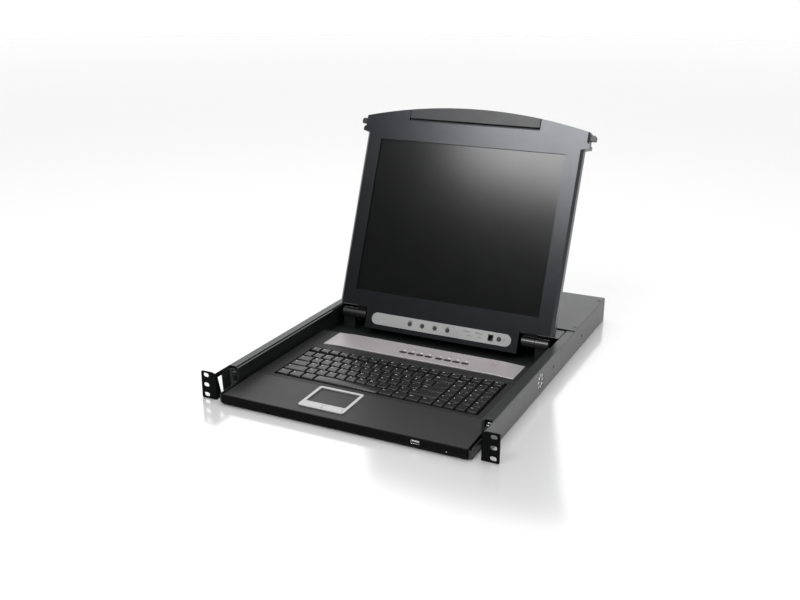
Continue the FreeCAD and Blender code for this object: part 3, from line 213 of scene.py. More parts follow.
hinge_paint = textured("hinge_satin_black", (0.011, 0.0115, 0.012), (0.008, 0.008, 0.0085),
                       (0.24, 0.32), grains=1500.0, depth=0.00001)
dark_screws = textured("black_zinc_screws", (0.1, 0.1, 0.105), (0.05, 0.05, 0.05), (0.25, 0.4),
                       metallic=0.9, grains=2500.0, depth=0.00001)
print("steel finishes ready")

# %% Moulded plastic
palm_plastic = textured("palm_rest_plastic", (0.0108, 0.0106, 0.0105), (0.0088, 0.0087, 0.0086),
                        (0.36, 0.42), grains=2200.0, depth=0.00005, Specular_IOR_Level=0.27)
frame_plastic = textured("keyboard_frame_plastic", (0.006, 0.006, 0.0061), (0.0045, 0.0045, 0.0045),
                         (0.42, 0.52), grains=2200.0, depth=0.00005, Specular_IOR_Level=0.22)
key_plastic = textured("key_plastic", (0.0092, 0.0086, 0.0092), (0.0068, 0.0064, 0.0068),
                       (0.22, 0.3), grains=3000.0, depth=0.00002, Specular_IOR_Level=0.4)
trim_plastic = textured("front_trim_plastic", (0.0022, 0.0022, 0.0023), (0.0017, 0.0017, 0.0017),
                        (0.4, 0.5), grains=1800.0, depth=0.00002, Specular_IOR_Level=0.05)
socket_black = textured("socket_black_plastic", (0.014, 0.014, 0.0145), (0.009, 0.009, 0.009),
                        (0.4, 0.55), grains=2000.0, depth=0.00003)
silver_plastic = textured("silver_painted_plastic", (0.265, 0.25, 0.256), (0.22, 0.207, 0.213),
                          (0.28, 0.4), metallic=0.3, grains=4000.0, depth=0.00001)
bright_silver = textured("bright_silver_plastic", (0.37, 0.37, 0.37), (0.31, 0.31, 0.31),
                         (0.26, 0.36), metallic=0.4, grains=4000.0, depth=0.00001)
satin_silver = textured("satin_silver_plastic", (0.34, 0.34, 0.34), (0.28, 0.28, 0.28),
                        (0.3, 0.4), metallic=0.35, grains=4000.0, depth=0.00001)
pad_plastic = textured("touchpad_film", (0.011, 0.011, 0.011), (0.0055, 0.0055, 0.0056),
                       (0.36, 0.46), grains=600.0, patches=150.0,
                       stretch=(0.06, 1.6, 1.0), Specular_IOR_Level=0.3)
slate_plastic = textured("slate_bezel_plastic", (0.002, 0.0026, 0.0032), (0.0016, 0.0021, 0.0026),
                         (0.24, 0.26), grains=1800.0, depth=0.000006, Specular_IOR_Level=0.6,
                         Specular_Tint=(0.92, 0.94, 1.0, 1.0))
grip_plastic = textured("grip_plastic", (0.013, 0.0135, 0.016), (0.0105, 0.011, 0.0125),
                        (0.3, 0.4), grains=1800.0, Specular_IOR_Level=0.38)
board_green = textured("circuit_board", (0.02, 0.12, 0.055), (0.015, 0.085, 0.04), (0.3, 0.45),
                       grains=700.0, depth=0.00006, patches=120.0)
insulator_blue = textured("insulator_blue", (0.012, 0.03, 0.16), (0.009, 0.022, 0.12),
                          (0.35, 0.5), grains=2000.0, depth=0.00001)
legend_ink = textured("legend_ink", (0.5, 0.5, 0.5), (0.4, 0.4, 0.4), (0.5, 0.6),
                      grains=3000.0, depth=0.000002)
dark_ink = textured("dark_ink", (0.012, 0.012, 0.013), (0.009, 0.009, 0.01), (0.5, 0.6),
                    grains=3000.0, depth=0.000002)
red_lens = textured("red_lens", (0.35, 0.05, 0.05), (0.24, 0.03, 0.035), (0.12, 0.2),
                    grains=800.0, depth=0.000005, Coat_Weight=0.6, Coat_Roughness=0.08)
pale_lens = textured("pale_lens", (0.72, 0.7, 0.68), (0.6, 0.58, 0.56), (0.12, 0.2),
                     grains=800.0, depth=0.000005, Coat_Weight=0.5, Coat_Roughness=0.1)
grey_ink = textured("grey_ink", (0.09, 0.06, 0.062), (0.07, 0.045, 0.048), (0.5, 0.6),
                    grains=3000.0, depth=0.000002)
print("plastic finishes ready")

# %% [markdown]
# ## The screen
# The display is a flat panel behind a matt, tinted pane. The pane is switched off, so it is
# nearly black, and its fine haze spreads the studio's soft box into a wide pale glow.

# %% Screen finishes
matt_pane = textured("matt_screen_pane", (0.003, 0.0034, 0.0032), (0.0025, 0.0028, 0.0027),
                     (0.17, 0.19), grains=9000.0, depth=0.000001, patches=5.0)
dark_panel = textured("dark_panel", (0.008, 0.009, 0.011), (0.006, 0.007, 0.009), (0.3, 0.36),
                      grains=3500.0, depth=0.000006)
print("screen finishes ready")

# %% [markdown]
# ## Tools for new pieces
# A fine piece is a sheet of points worked out with numpy: rings of points round a closed
# outline, one ring above another. Neighbouring rings are joined by four-sided faces, and the
# first and last rings are closed by fans, so the skin has no holes. Many equal pieces are made
# at once by giving the arrays one more axis.

# %% Mesh tools
def band_faces(rings, around, endless=False):
    """Quads between rings: corner (r, s) is r * around + s, and s runs round in a circle."""
    count = rings if endless else rings - 1
    ring, step = np.meshgrid(np.arange(count), np.arange(around), indexing="ij")
    above, after = (ring + 1) % rings, (step + 1) % around
    faces = np.stack([ring * around + step, ring * around + after,
                      above * around + after, above * around + step], axis=-1)
    return faces.reshape(-1, 4)


def fan_faces(first, around, centre, flip=False):
    """Triangles from a ring that starts at point first to one centre point."""
    step = np.arange(around)
    after = (step + 1) % around
    corners = [first + after, first + step] if flip else [first + step, first + after]
    return np.stack(corners + [np.full(around, centre)], axis=-1)


def repeat_faces(faces, pieces, corners):
    """The faces of one piece, numbered again for each of many equal pieces."""
    shift = np.arange(pieces) * corners
    return (faces[None] + shift[:, None, None]).reshape(-1, faces.shape[1])


def closed_stack(rings, crown=None):
    """Closed skins from rings (pieces, levels, around, 3): bottom fan, bands and top fan.

    The fan centres are the mean of the first ring and the mean of the last, or the crown.
    """
    pieces, levels, around = rings.shape[:3]
    centres = rings[:, [0, -1]].mean(axis=2)
    if crown is not None:
        centres[:, 1] = crown
    points = np.concatenate([rings.reshape(pieces, levels * around, 3), centres], axis=1)
    last = levels * around
    fans = np.concatenate([fan_faces(0, around, last, flip=True),
                           fan_faces(last - around, around, last + 1)])
    return points.reshape(-1, 3), [repeat_faces(band_faces(levels, around), pieces, last + 2),
                                   repeat_faces(fans, pieces, last + 2)]


def endless_rings(rings):
    """Skins like a tyre, from rings (pieces, levels, around, 3): the last level joins the first."""
    pieces, levels, around = rings.shape[:3]
    faces = band_faces(levels, around, endless=True)
    return rings.reshape(-1, 3), [repeat_faces(faces, pieces, levels * around)]


def join_parts(*parts):
    """Put several (points, face sets) together as one."""
    start = np.cumsum([0] + [len(points) for points, _ in parts])
    faces = [face_set + first for first, (_, sets) in zip(start, parts) for face_set in sets]
    return np.concatenate([points for points, _ in parts]), faces


def body_name(node):
    """Name of the body that a measured piece belongs to."""
    return body_of(nodes[node])[0]


slot_of = {part["node"]: part["material_slot"] for part in frame["record"]["subparts"]}
smooth_limit = radians(35.0)


def dress(name, mesh, material, body, slot, stands_for=()):
    """Make a mesh an object at the origin, with its finish and body, and hide the measured pieces
    it stands for.
    """
    mesh.materials.clear()
    mesh.materials.append(material)
    piece = bpy.data.objects.new(name, mesh)
    bpy.context.collection.objects.link(piece)
    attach(piece, body)
    if stands_for:
        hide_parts(*stands_for)


def make_piece(name, shape, material, body, slot, stands_for=()):
    """One object at the origin from (points in metres, face sets), smooth below smooth_limit."""
    points, face_sets = shape
    mesh = bpy.data.meshes.new(name)
    mesh.from_pydata(points.tolist(), [], [face for faces in face_sets for face in faces.tolist()])
    mesh.update()
    mesh.shade_smooth()
    mesh.set_sharp_from_angle(angle=smooth_limit)
    dress(name, mesh, material, body, slot, stands_for)
    print(name, len(mesh.polygons), "faces")


def rounded_outline(half_wide, half_deep, radius, steps=4):
    """Outline with quarter-circle corners: (+-(a - r), +-(b - r)) + r (cos t, sin t), in order.

    Each corner gets the same number of steps; arrays of sizes give arrays of outlines.
    """
    corner = np.repeat(np.arange(4), steps) * pi / 2
    turn = corner + np.tile(np.linspace(0, pi / 2, steps), 4)
    side_x, side_y = np.sign(np.cos(corner + pi / 4)), np.sign(np.sin(corner + pi / 4))
    half_wide, half_deep, radius = (np.asarray(size)[..., None]
                                    for size in (half_wide, half_deep, radius))
    return np.stack(np.broadcast_arrays(side_x * (half_wide - radius) + radius * np.cos(turn),
                                        side_y * (half_deep - radius) + radius * np.sin(turn)),
                    axis=-1)


def at_height(outline, height):
    """Give flat outlines (..., 2) a third coordinate."""
    height = np.broadcast_to(height, outline.shape[:-1])[..., None]
    return np.concatenate([outline, height], axis=-1)


def one_stack(levels):
    """One closed skin from (flat outline, height) pairs, lowest first."""
    return closed_stack(np.stack([at_height(outline, height) for outline, height in levels])[None])


def circle(radius, around):
    """Outline of a circle with the given number of corners."""
    turn = np.arange(around) * 2 * pi / around
    return np.stack([np.cos(turn), np.sin(turn)], axis=-1) * radius


def placed(points, centre, across, along, above):
    """Carry local points (x, y, z) to centre + x * across + y * along + z * above."""
    axes = np.array([across, along, above], float)
    return points @ axes + np.asarray(centre)


def copies(shape, places, *axes):
    """The same shape at several places, all turned the same way."""
    points, faces = shape
    return join_parts(*[(placed(points, place, *axes), faces) for place in places])


def corner_points(node):
    """All corners of a measured piece as an array of (triangles, 3, 3)."""
    mesh = nodes[node].data
    places = np.zeros(len(mesh.vertices) * 3, np.float32)
    mesh.vertices.foreach_get("co", places)
    corners = np.zeros(len(mesh.loops), np.int32)
    mesh.loops.foreach_get("vertex_index", corners)
    return places.reshape(-1, 3)[corners].reshape(-1, 3, 3).astype(float)


row_step = 0.004    # solids whose fronts lie this close count as one row


def solid_boxes(node):
    """Boxes (solids, 2, 3) of the separate solids in a measured piece, front row first.

    Corners at one place share a number. Each triangle then passes its lowest label to its
    corners until nothing changes, so every solid ends up with one label of its own.
    """
    triangles = corner_points(node)
    places, number = np.unique(np.round(triangles.reshape(-1, 3), 6), axis=0, return_inverse=True)
    number = number.reshape(-1, 3)
    label = np.arange(len(places))
    settled = False
    while not settled:
        lowest = label[number].min(axis=1)
        passed = label.copy()
        np.minimum.at(passed, number.ravel(), np.repeat(lowest, 3))
        settled = np.array_equal(passed, label)
        label = passed
    found, group = np.unique(label, return_inverse=True)
    boxes = np.full((len(found), 2, 3), np.inf)
    boxes[:, 1] = -np.inf
    np.minimum.at(boxes[:, 0], group.ravel(), places)
    np.maximum.at(boxes[:, 1], group.ravel(), places)
    row = np.round(boxes[:, 0, 1] / row_step)
    return boxes[np.lexsort((boxes[:, 0, 0], row))]


print("the letter block has", len(solid_boxes("letter_keys")), "keys")

# %% [markdown]
# ## Key caps
# A laptop-style cap is moulded: a square skirt, sides that lean in, a rounded shoulder and a
# top that is hollowed a little for the fingertip. Each is a stack of nine outlines: two for
# the stem that goes down to the key plate, then the skirt, the shoulder and the hollow. The
# hollow is part of a cylinder, so it runs straight from front to back, and the space bar is
# crowned instead. All the caps of one block are worked out in one go.

# %% Key caps
cap_height, cap_radius, stem_half, stem_radius = 0.0064, 0.0014, 0.0022, 0.0005
cap_levels = ((0, 0, 0), (0, 0.0009, 0), (0.00115, 0.0052, 0), (0.0016, 0.0061, 0.5),
              (0.0024, 0.0064, 1.0))
top_inset = 0.0017            # rim of the hollow, inside the foot of the skirt
hollow_depth, crown_height = 0.0004, 0.0006


def cap_tops(x, y, half_wide, half_deep, crowned):
    """Height of a cap's top against its rim: -d (1 - (x/a)^2), or for a crown -h (y/b)^2."""
    hollow = -hollow_depth * (1 - (x / half_wide) ** 2)
    return -crown_height * (y / half_deep) ** 2 if crowned else hollow


def key_caps(name, crowned=False):
    """Caps in place of one block of keys; a level is (inset, height, share of the hollow)."""
    boxes = solid_boxes(name)
    middle, half = boxes.mean(axis=1), (boxes[:, 1] - boxes[:, 0]) / 2
    top, stem_foot = boxes[:, 1, 2], boxes[:, 0, 2]
    base = top - cap_height
    top_wide, top_deep = half[:, 0] - top_inset, half[:, 1] - top_inset

    def dip(outline):
        return cap_tops(outline[..., 0], outline[..., 1], top_wide[:, None], top_deep[:, None],
                        crowned)

    stem_side = np.full(len(boxes), stem_half)
    stem = rounded_outline(stem_side, stem_side, stem_radius, steps=3)
    rings = [at_height(stem, stem_foot[:, None]), at_height(stem, base[:, None])]
    for inset, height, share in cap_levels:
        outline = rounded_outline(half[:, 0] - inset, half[:, 1] - inset,
                                  cap_radius + inset * 0.3, steps=3)
        rings.append(at_height(outline, base[:, None] + height + share * dip(outline)))
    for inner in (outline * 0.66, outline * 0.33):
        rings.append(at_height(inner, top[:, None] + dip(inner)))
    crown = np.stack([middle[:, 0], middle[:, 1],
                      top + cap_tops(0.0, 0.0, top_wide, top_deep, crowned)], axis=-1)
    rings = np.stack(rings, axis=1)
    rings[..., :2] += middle[:, None, None, :2]
    return boxes, closed_stack(rings, crown)


key_boxes = {}
for block in ("space_bar", "letter_keys", "number_keys", "function_keys", "pad_keys"):
    key_boxes[block], caps = key_caps(block, crowned=block == "space_bar")
    make_piece(block + "_caps", caps, key_plastic, body_name(block), slot_of[block], (block,))

# %% [markdown]
# ## Legends on the keys
# Key legends are printed or lasered, a few hundredths of a millimetre thick, in the back left
# corner of the cap. Each word starts as a Blender text curve with a little thickness. It is
# made a mesh, moved to its key, and laid on the hollow by adding the same height formula.

# %% Legends
ink_thickness = 0.00012


def word_shape(word, size):
    """One word as (points, one array of corners per face), left edge at x = 0, facing up."""
    curve = bpy.data.curves.new("word", "FONT")
    curve.body, curve.size, curve.extrude = word, size, ink_thickness / 2
    curve.resolution_u = 2
    curve.align_y = "CENTER"
    writer = bpy.data.objects.new("word", curve)
    mesh = bpy.data.meshes.new_from_object(writer)
    skin = bmesh.new()
    skin.from_mesh(mesh)
    bmesh.ops.remove_doubles(skin, verts=skin.verts, dist=1e-7)
    skin.to_mesh(mesh)
    skin.free()
    points = np.zeros(len(mesh.vertices) * 3, np.float32)
    mesh.vertices.foreach_get("co", points)
    corners = np.zeros(len(mesh.loops), np.int32)
    mesh.loops.foreach_get("vertex_index", corners)
    sides = np.zeros(len(mesh.polygons), np.int32)
    mesh.polygons.foreach_get("loop_total", sides)
    bpy.data.meshes.remove(mesh)
    bpy.data.objects.remove(writer)
    bpy.data.curves.remove(curve)
    points = points.reshape(-1, 3).astype(float)
    points[:, 0] -= points[:, 0].min()
    return points, np.split(corners, np.cumsum(sides)[:-1])


def legend_piece(name, marks, material, body, slot):
    """Many words as one object; marks are (word, size, function that places the points)."""
    points, faces, total = [], [], 0
    for word, size, place in marks:
        corners, polygons = word_shape(word, size)
        points.append(place(corners))
        faces += [(polygon + total).tolist() for polygon in polygons]
        total += len(corners)
    mesh = bpy.data.meshes.new(name)
    mesh.from_pydata(np.concatenate(points).tolist(), [], faces)
    dress(name, mesh, material, body, slot)
    print(name, len(marks), "marks,", len(faces), "faces")


legend_left, legend_back = 0.0033, 0.0052    # from the cap's left and back edges


def on_key(box, rise=0.0):
    """Place a word in the back left corner of a key's top, on the hollow of the cap."""
    middle, half = box.mean(axis=0), (box[1] - box[0]) / 2

    def place(points):
        x = points[:, 0] - half[0] + legend_left
        y = points[:, 1] + half[1] - legend_back + rise
        dip = cap_tops(x, y, half[0] - top_inset, half[1] - top_inset, False)
        height = box[1, 2] + dip + points[:, 2] + ink_thickness / 4
        return np.stack([middle[0] + x, middle[1] + y, height], axis=-1)
    return place


LEGENDS = {
    "letter_keys": "Ctrl Fn Alt Alt Fn Menu Ctrl Shift Z X C V B N M , . / Shift "
                   "Caps A S D F G H J K L ; ' Enter Tab Q W E R T Y U I O P [ ] \\",
    "number_keys": "` 1 2 3 4 5 6 7 8 9 0 - = Back",
    "function_keys": "Esc F1 F2 F3 F4 F5 F6 F7 F8 F9 F10 F11 F12 Prt Scr",
    "pad_keys": "0 00 . Ent 1 2 3 Del 4 5 6 + 7 8 9 - Num / * = Ins Hm Up Dn"}
SHIFTED = "~ ! @ # $ % ^ & * ( ) _ +"
lone_size, word_size, shifted_size = 0.0042, 0.0027, 0.0026
for block, words in LEGENDS.items():
    marks = []
    for word, box in zip(words.split(), key_boxes[block]):
        marks.append((word, lone_size if len(word) == 1 else word_size, on_key(box)))
    if block == "number_keys":
        for word, box in zip(SHIFTED.split(), key_boxes[block]):
            marks.append((word, shifted_size, on_key(box, rise=-lone_size)))
    legend_piece(block.replace("keys", "legends"), marks, legend_ink, body_name(block),
                 slot_of[block])

# %% [markdown]
# ## Rounded edges on the measured pieces
# Painted sheet and moulded plastic never end in a knife edge. A copy of each measured piece is
# merged into one skin, its flat faces are joined up, and a bevel of a few tenths of a
# millimetre is cut along its edges. Weighted normals keep the wide faces flat while the narrow
# ones shade round, so the light draws a thin line along each edge. The copy stands in for the
# measured piece and rides where it rides.

# %% Rounded copies
flat_limit, crease_limit, bevel_limit = radians(0.5), radians(30.0), radians(40.0)


def rounded(node, radius, material):
    """Copy a measured piece, merge it, and bevel every edge sharper than bevel_limit."""
    mesh = nodes[node].data.copy()
    skin = bmesh.new()
    skin.from_mesh(mesh)
    bmesh.ops.remove_doubles(skin, verts=skin.verts, dist=1e-6)
    bmesh.ops.dissolve_limit(skin, angle_limit=flat_limit, verts=skin.verts, edges=skin.edges)
    skin.to_mesh(mesh)
    skin.free()
    mesh.shade_smooth()
    mesh.set_sharp_from_angle(angle=crease_limit)
    work = bpy.data.objects.new("edge_work", mesh)
    bpy.context.collection.objects.link(work)
    bevel = work.modifiers.new("edge", "BEVEL")
    bevel.width, bevel.segments = radius, 2
    bevel.limit_method, bevel.angle_limit = "ANGLE", bevel_limit
    bevel.use_clamp_overlap = True
    flatten = work.modifiers.new("flatten", "WEIGHTED_NORMAL")
    flatten.keep_sharp = False
    solid = bpy.data.meshes.new_from_object(
        work.evaluated_get(bpy.context.evaluated_depsgraph_get()))
    bpy.data.objects.remove(work)
    bpy.data.meshes.remove(mesh)
    solid.name = node + "_rounded"
    dress(node + "_rounded", solid, material, body_name(node), slot_of[node], (node,))


ROUNDED = [
    (powder_coat, 0.0004, ["side_channel_left", "side_channel_right", "rear_cover", "rear_panel",
                           "rear_floor", "drawer_tray", "hinge_cover"]),
    (ear_paint, 0.0004, ["rack_ear_left", "rack_ear_right"]),
    (plated_steel, 0.00025, ["slide_outer_left", "slide_outer_right", "slide_middle_left",
                             "slide_middle_right", "slide_inner_left", "slide_inner_right",
                             "power_supply"]),
    (dark_panel, 0.00025, ["key_plate"]),
    (bright_steel, 0.00015, ["usb_port", "hinge_pins"]),
    (hinge_paint, 0.0004, ["hinge_brackets", "hinge_leaves"]),
    (palm_plastic, 0.0008, ["palm_rest"]),
    (frame_plastic, 0.0006, ["key_frame"]),
    (trim_plastic, 0.0005, ["front_trim"]),
    (silver_plastic, 0.0005, ["control_strip"]),
    (bright_silver, 0.0004, ["osd_strip"]),
    (satin_silver, 0.0005, ["touchpad_frame", "touchpad_button_left", "touchpad_button_right"]),
    (pad_plastic, 0.0002, ["touchpad_surface"]),
    (slate_plastic, 0.0008, ["display_bezel", "display_back_cover"]),
    (grip_plastic, 0.0004, ["handle_grip", "latch_left", "latch_right"]),
    (socket_black, 0.0004, ["power_inlet", "power_rocker", "rocker_housing", "osd_button_1",
                            "osd_button_2", "osd_button_3", "osd_button_4",
                            "display_power_button"]),
    (socket_black, 0.00015, ["service_socket"]),
    (dark_panel, 0.0003, ["lcd_module"]),
    (matt_pane, 0.0002, ["screen_glass"]),
]
for material, radius, names in ROUNDED:
    for name in names:
        rounded(name, radius, material)
print("rounded", sum(len(names) for _, _, names in ROUNDED), "measured pieces")

# %% [markdown]
# ## The port buttons
# Eight small oblong buttons stand a little above the silver strip, each in a dark ring that is
# printed and slightly raised. A button is a stack of outlines with round ends, and its crown is
# lifted. A ring is an outline carried round the button with a small box for its section, so it
# closes on itself like a tyre. A pale lamp and a number belong to each button.

# %% Port buttons, rings, lamps and numbers
def pill(half_wide, half_deep, steps=5):
    """Outline with round ends: a rounded outline whose corner radius is half its depth."""
    half_deep = np.asarray(half_deep)
    return rounded_outline(half_wide, half_deep, half_deep * 0.98, steps)


def domed(boxes, shoulder):
    """Buttons in the given boxes: straight sides, a rounded shoulder and a lifted crown."""
    middle, half = boxes.mean(axis=1), (boxes[:, 1] - boxes[:, 0]) / 2
    foot, top = boxes[:, 0, 2, None], boxes[:, 1, 2, None]
    levels = [(0.0, foot), (0.0, top - shoulder), (shoulder * 0.3, top - shoulder * 0.35),
              (shoulder, top - shoulder * 0.1), (shoulder * 2, top)]
    rings = np.stack([at_height(pill(half[:, 0] - inset, half[:, 1] - inset), height)
                      for inset, height in levels], axis=1)
    rings[..., :2] += middle[:, None, None, :2]
    return closed_stack(rings)


def raised_rings(centres, half_wide, half_deep, wide, tall, steps=5):
    """Raised bands round an outline, with their feet at the centres' height."""
    section = ((0.0, -0.0002), (wide, -0.0002), (wide, tall * 0.6), (wide * 0.5, tall),
               (0.0, tall * 0.6))
    outline = np.stack([at_height(pill(half_wide - inset, half_deep - inset, steps), height)
                        for inset, height in section], axis=-2)
    return endless_rings(centres[:, None, None, :] + outline[None])


port_boxes = solid_boxes("port_buttons")
port_boxes = port_boxes[np.argsort(port_boxes[:, 0, 0])]
strip_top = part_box("control_strip")[1][2]
port_centres = port_boxes.mean(axis=1)
port_centres[:, 2] = strip_top
make_piece("port_button_caps", domed(port_boxes, 0.0008), key_plastic, body_name("port_buttons"),
           slot_of["port_buttons"], ("port_buttons",))
ring_half, ring_wide, ring_tall = (0.0069, 0.0041), 0.0009, 0.0003
make_piece("port_button_rings", raised_rings(port_centres, *ring_half, ring_wide, ring_tall),
           dark_ink, "drawer", "black_parts")


sunk_foot = 0.0003


def lamps(centres, half_wide, half_deep, tall):
    """Low domed lenses: a sunk foot, a straight edge and a crown."""
    levels = ((0.0, -sunk_foot), (0.0, tall * 0.4), (half_deep * 0.25, tall * 0.8),
              (half_deep * 0.6, tall))
    rings = np.stack([at_height(pill(half_wide - inset, half_deep - inset, 4), height)
                      for inset, height in levels], axis=0)
    return closed_stack(centres[:, None, None, :] + rings[None])


lamp_step, number_step, number_left = 0.0085, 0.0155, 0.0012    # from the button's middle
lamp_centres = port_centres + (0.0, lamp_step, 0.0)
make_piece("port_lamps", lamps(lamp_centres, 0.0016, 0.0008, 0.0004), pale_lens, "drawer",
           "silver_plastic")
status_row = 0.272
online = np.array([(0.1265, status_row, strip_top), (0.1325, status_row, strip_top)])
make_piece("status_lamps", lamps(online, 0.0014, 0.0014, 0.0005), red_lens, "drawer",
           "silver_plastic")


def on_strip(x, y):
    """Place a word flat on the control strip, from its left edge."""
    def place(points):
        return points + (x, y, strip_top + ink_thickness / 4)
    return place


strip_marks = [(str(number + 1), 0.0042, on_strip(x - number_left, y + number_step))
               for number, (x, y, _) in enumerate(port_centres)]
strip_marks += [(word, 0.0036, on_strip(x, status_row - 0.0065))
                for word, x in (("ON", 0.1235), ("OK", 0.1305))]
legend_piece("strip_numbers", strip_marks, grey_ink, "drawer", "silver_plastic")

# %% [markdown]
# ## The display's control strip
# The display leans back on its hinge, so its pieces are drawn upright, with the hinge axis as
# the origin, and then turned by the lean and moved to the hinge. The strip carries printed
# marks: a dark ring round each button, short words, and the usual sign for power, which is an
# open ring with a bar in its gap.

# %% Marks on the display strip
lean = radians(21.4)
pin_low, pin_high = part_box("hinge_pins")
hinge_axis = np.array([0.0, (pin_low[1] + pin_high[1]) / 2, (pin_low[2] + pin_high[2]) / 2])
strip_face, strip_level = -0.0125, -0.0039


def leaned(points):
    """Turn upright points (x, y back, z up) back by the lean, and move them to the hinge."""
    y, z = points[..., 1], points[..., 2]
    return np.stack([points[..., 0], y * cos(lean) + z * sin(lean),
                     z * cos(lean) - y * sin(lean)], axis=-1) + hinge_axis


def on_face(points, x, z, proud=0.0):
    """Lay flat points (x, y, thickness) on the strip's front face, at x and level z."""
    return leaned(np.stack([points[..., 0] + x, strip_face - points[..., 2] - proud,
                            points[..., 1] + z], axis=-1))


def arc_ring(radius, wide, start, finish):
    """Flat band along an arc: a box section carried from one angle to another, ends closed."""
    turn = np.linspace(start, finish, 20)
    section = ((radius, 0.0), (radius + wide, 0.0), (radius + wide, ink_thickness),
               (radius, ink_thickness))
    rings = np.stack([at_height(np.stack([r * np.cos(turn), r * np.sin(turn)], axis=-1), h)
                      for r, h in section], axis=1)
    return closed_stack(rings[None, ::-1])


button_names = ["osd_button_1", "osd_button_2", "osd_button_3", "osd_button_4",
                "display_power_button"]
button_places = [sum(v[0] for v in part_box(name)) / 2 for name in button_names]
halo_radius, halo_wide, sign_place = 0.0041, 0.0010, 0.1175
halos = []
for x in button_places:
    halo, faces = raised_rings(np.zeros((1, 3)), halo_radius, halo_radius, halo_wide,
                               ink_thickness, steps=6)
    halos.append((on_face(halo, x, strip_level), faces))
make_piece("display_button_rings", join_parts(*halos), dark_ink, "display", "bezel_plastic")
sign_radius = 0.0014
power_ring, ring_faces = arc_ring(sign_radius, 0.0004, radians(125), radians(415))
bar = rounded_outline(0.00022, 0.0011, 0.00015)
power_bar, bar_faces = one_stack([(bar, 0.0), (bar, ink_thickness)])
make_piece("power_sign", join_parts(
    (on_face(power_ring, sign_place, strip_level), ring_faces),
    (on_face(power_bar + (0.0, sign_radius, 0.0), sign_place, strip_level), bar_faces)),
    dark_ink, "display", "bezel_plastic")


def word_on_face(x, z):
    """Place a word on the strip's front face, its left edge at x and its middle at level z."""
    return lambda points: on_face(points, x, z, ink_thickness / 4)


word_left, word_rise = 0.0028, 0.0052    # from the middle of the button
strip_words = [(word, 0.003, word_on_face(x - word_left, strip_level + word_rise))
               for word, x in zip(("MENU", " - ", " + ", "EXIT"), button_places)]
upper_line, lower_line = strip_level + 0.0038, strip_level - 0.0025
strip_words += [("SERVICE", 0.0036, word_on_face(0.066, upper_line)),
                ("DISPLAY", 0.0036, word_on_face(0.044, upper_line)),
                ("AUTO", 0.0032, word_on_face(0.052, lower_line)),
                ("ON", 0.0034, word_on_face(0.0715, lower_line))]
legend_piece("display_strip_words", strip_words, dark_ink, "display", "bezel_plastic")

# %% [markdown]
# ## Screws
# The heads are low pans with a cross recess. The recess is a plus sign of twelve corners. Its
# directions from the centre are also used for the round rings outside it, so that every ring
# has the same corners and the head is one stack: the foot, the edge, the dome, the rim of the
# plus sign and its floor.

# %% Screw heads
slot_half, slot_reach, slot_depth = 0.00035, 0.0015, 0.0005
head_profile = ((0.003, 0.0), (0.003, 0.45), (0.0026, 0.82), (0.0019, 0.97))
twelve = np.array([(slot_reach, -slot_half), (slot_reach, slot_half), (slot_half, slot_half)])
turns = [np.array([(cos(a), -sin(a)), (sin(a), cos(a))]) for a in np.arange(4) * pi / 2]
plus = np.concatenate([twelve @ turn.T for turn in turns])
plus = np.stack([plus, (plus + np.roll(plus, -1, axis=0)) / 2], axis=1).reshape(-1, 2)
directions = plus / np.linalg.norm(plus, axis=1, keepdims=True)


def screw_head(thick):
    """One head on z = 0: rings of (radius, share of the height), with the plus sign inside."""
    rings = [(directions * radius, height * thick) for radius, height in head_profile]
    return one_stack(rings + [(plus, thick), (plus * 0.9, thick - slot_depth)])


def screws(name, thick, axes_of):
    """Heads in place of the measured ones, each standing on the side that its axes give."""
    parts = []
    for box in solid_boxes(name):
        axes = axes_of(box)
        foot = box.mean(axis=0) - np.array(axes[2]) * thick / 2
        parts.append(copies(screw_head(thick), [foot], *axes))
    make_piece(name + "_pan_heads", join_parts(*parts), dark_screws, body_name(name),
               slot_of[name], (name,))


def shell_axes(box):
    """Screws on top of the cover stand on +Z, and those in the sides on -X or +X."""
    if box[1, 2] - box[0, 2] < 0.002:
        return (1, 0, 0), (0, 1, 0), (0, 0, 1)
    side = np.sign(box[0, 0])
    return (0, side, 0), (0, 0, 1), (side, 0, 0)


low_head, tall_head = 0.0008, 0.0016
screws("chassis_screws", low_head, shell_axes)
screws("drawer_screws", tall_head, lambda box: ((1, 0, 0), (0, 1, 0), (0, 0, 1)))
screws("display_screws", low_head, lambda box: ((-1, 0, 0), (0, sin(lean), cos(lean)),
                                                (0, cos(lean), -sin(lean))))

# %% [markdown]
# ## The sockets
# Each fifteen-way connector has a blue insulating block with three rows of gilded contacts and
# two hexagon posts for the plug's screws. The block is a stack of trapezoid outlines, a contact
# is a small open cup, and a post is a hexagon with a threaded hole. The mains inlet gets three
# flat blades, and the front port its contact strips. The rocker carries a printed O on its
# raised half and an I on the other, and a clear lens fills the lamp hole of the front trim.

# %% Connector insides
def cups(centres, outer, inner, tall, deep, around=8):
    """Open cups: up the outside, over the rim, down the inside, and across the floor."""
    outside, inside = circle(outer, around), circle(inner, around)
    rings = np.stack([at_height(outside, 0.0), at_height(outside, tall),
                      at_height(inside, tall), at_height(inside, tall - deep)])
    return closed_stack(centres[:, None, None, :] + rings[None])


def d_outline(half_wide, half_tall, slope, radius):
    """A rounded rectangle whose lower side is narrower: x shrinks by slope * (a - y) / 2a."""
    outline = rounded_outline(half_wide, half_tall, radius)
    outline[..., 0] *= 1 - slope * (half_tall - outline[..., 1]) / (2 * half_tall)
    return outline


